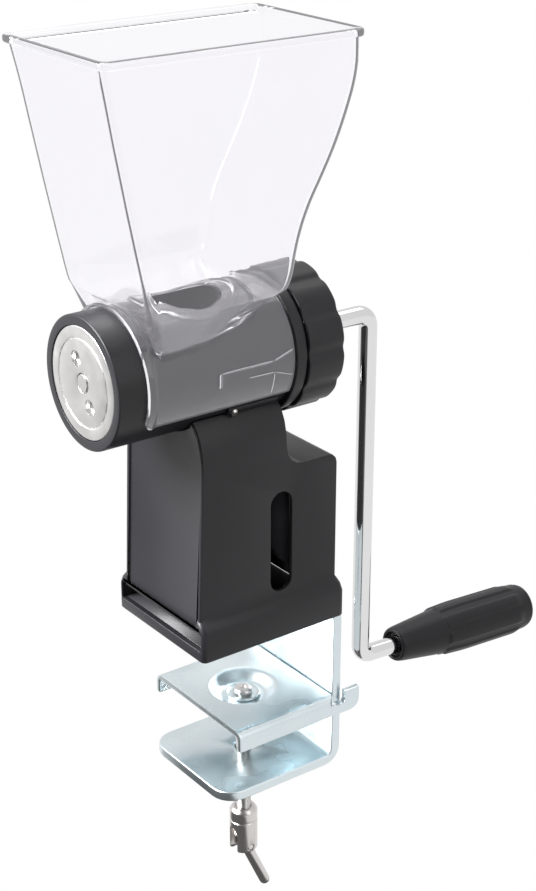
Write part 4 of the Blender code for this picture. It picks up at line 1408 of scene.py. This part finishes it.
@dataclass
class Studio:
    """The pale floor, the surround, the lamps and the camera."""

    camera: tuple = (0.6662, -0.4695, 0.4384)
    azimuth: float = 53.52
    elevation: float = 23.08
    roll: float = 0.08
    lens: float = 72.9
    floor_z: float = -0.215
    floor_glow: float = 0.9
    card_glow: float = 0.12
    surround: float = 0.8
    dim_side: float = 0.1
    rod_y: float = 0.0861
    card_way: tuple = (0.05, -1.0, 0.0)
    card_edge: tuple = (0.60, 0.74)

    def build(self) -> None:
        """Make everything that isn't the mill."""
        self.build_floor()
        self.build_world()
        for box in (
            Softbox("front_box", (-0.5, -1.2, 0.85), (0.9, 0.7), 95.0, (0.0, 0.0, 0.06)),
            Softbox("side_box", (1.1, 0.25, 0.75), (0.7, 1.1), 2.0),
            Softbox("top_box", (-0.3, 0.5, 1.4), (1.2, 1.2), 6.0),
        ):
            box.build()
        self.build_camera()

    @staticmethod
    def seen_or_lit(tree: bpy.types.NodeTree, lit: Socket) -> Socket:
        """White where it is seen, dimmer through clear plastic, and a given strength where it only
        lights and is mirrored.

        Args:
            tree: The node tree.
            lit: The strength for light and mirrored views.

        Returns:
            The strength.
        """
        path = tree.nodes.new("ShaderNodeLightPath")
        through = math_node(tree, "GREATER_THAN", path.outputs["Transmission Depth"], 0.5)
        for factor, strength in ((through, SEEN_THROUGH), (path.outputs["Is Camera Ray"], 1.0)):
            pick = tree.nodes.new("ShaderNodeMix")
            tree.links.new(factor, pick.inputs["Factor"])
            tree.links.new(lit, pick.inputs["A"])
            pick.inputs["B"].default_value = strength
            lit = pick.outputs["Result"]
        return lit

    @staticmethod
    def zone(
        tree: bpy.types.NodeTree, where: Socket, way: tuple, edge: tuple, levels: tuple
    ) -> Socket:
        """A strength that goes from one level to another as a direction turns towards a way.

        Args:
            tree: The node tree.
            where: The socket of the direction or place.
            way: The way.
            edge: The cosines where the change starts and ends.
            levels: The strengths before and after.

        Returns:
            The strength.
        """
        unit = math_node(tree, "NORMALIZE", where, vector=True)
        turned_to = math_node(tree, "DOT_PRODUCT", unit, way, vector=True)
        shade = tree.nodes.new("ShaderNodeMapRange")
        shade.interpolation_type = "SMOOTHSTEP"
        for label, value in zip(("From Min", "From Max", "To Min", "To Max"), (*edge, *levels)):
            shade.inputs[label].default_value = value
        tree.links.new(turned_to, shade.inputs["Value"])
        return shade.outputs["Result"]

    def build_floor(self) -> None:
        """Make the floor: a wide flat disc of lit paper, with a dim zone in front for the metal."""
        ring = np.linspace(0.0, 2 * np.pi, 64, endpoint=False)
        height = np.full(64, self.floor_z / MM)
        points = np.stack((9000 * np.cos(ring), 9000 * np.sin(ring), height), axis=1)
        mesh = bpy.data.meshes.new("floor")
        mesh.from_pydata(points * MM, [], [list(range(64))])
        floor = place_in_scene("floor", mesh)
        made = bpy.data.materials.new("floor_paper")
        made.use_nodes = True
        tree = made.node_tree
        shader = tree.nodes["Principled BSDF"]
        shader.inputs["Base Color"].default_value = (0.0, 0.0, 0.0, 1.0)
        shader.inputs["Specular IOR Level"].default_value = 0.0
        shader.inputs["Emission Color"].default_value = (1.0, 1.0, 1.0, 1.0)
        shift = (0.0, -self.rod_y, 0.0)
        flat = math_node(tree, "MULTIPLY_ADD", object_place(tree), (1.0, 1.0, 0.0), shift, vector=True)
        levels = (self.floor_glow, self.card_glow)
        lit = self.zone(tree, flat, self.card_way, self.card_edge, levels)
        tree.links.new(self.seen_or_lit(tree, lit), shader.inputs["Emission Strength"])
        mesh.materials.append(made)

    def build_world(self) -> None:
        """Surround the mill with soft white, darker towards the side that it is seen from."""
        world = bpy.data.worlds.new("studio")
        bpy.context.scene.world = world
        world.use_nodes = True
        tree = world.node_tree
        back = tree.nodes["Background"]
        where = tree.nodes.new("ShaderNodeTexCoord").outputs["Generated"]
        lit = self.zone(tree, where, (0.66, -0.72, 0.2), (0.55, 0.95), (self.surround, self.dim_side))
        tree.links.new(self.seen_or_lit(tree, lit), back.inputs["Strength"])
        back.inputs["Color"].default_value = (1.0, 1.0, 1.0, 1.0)

    def build_camera(self) -> None:
        """Put the camera where the mill is seen from."""
        data = bpy.data.cameras.new("camera")
        data.lens = self.lens
        data.sensor_width = 36.0
        data.clip_end = 50.0
        item = bpy.data.objects.new("camera", data)
        bpy.context.scene.collection.objects.link(item)
        item.location = self.camera
        turn = Matrix.Rotation(math.radians(self.azimuth), 3, "Z")
        tilt = Matrix.Rotation(math.radians(90.0 - self.elevation), 3, "X")
        spin = Matrix.Rotation(math.radians(self.roll), 3, "Z")
        item.rotation_euler = (turn @ tilt @ spin).to_euler()
        bpy.context.scene.camera = item


def main() -> None:
    """Build the mill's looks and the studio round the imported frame."""
    logging.basicConfig(level=logging.INFO, format="%(name)s: %(message)s")
    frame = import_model()
    bpy.context.scene.view_settings.view_transform = "Standard"
    Studio().build()
    Stand().build(frame)
    GrindingHead().build()
    AdjustingRing().build()
    Hopper().build()
    Crank().build()
    Clamp().build(frame)
    CarriedNodes().build(frame)


if __name__ == "__main__":
    main()
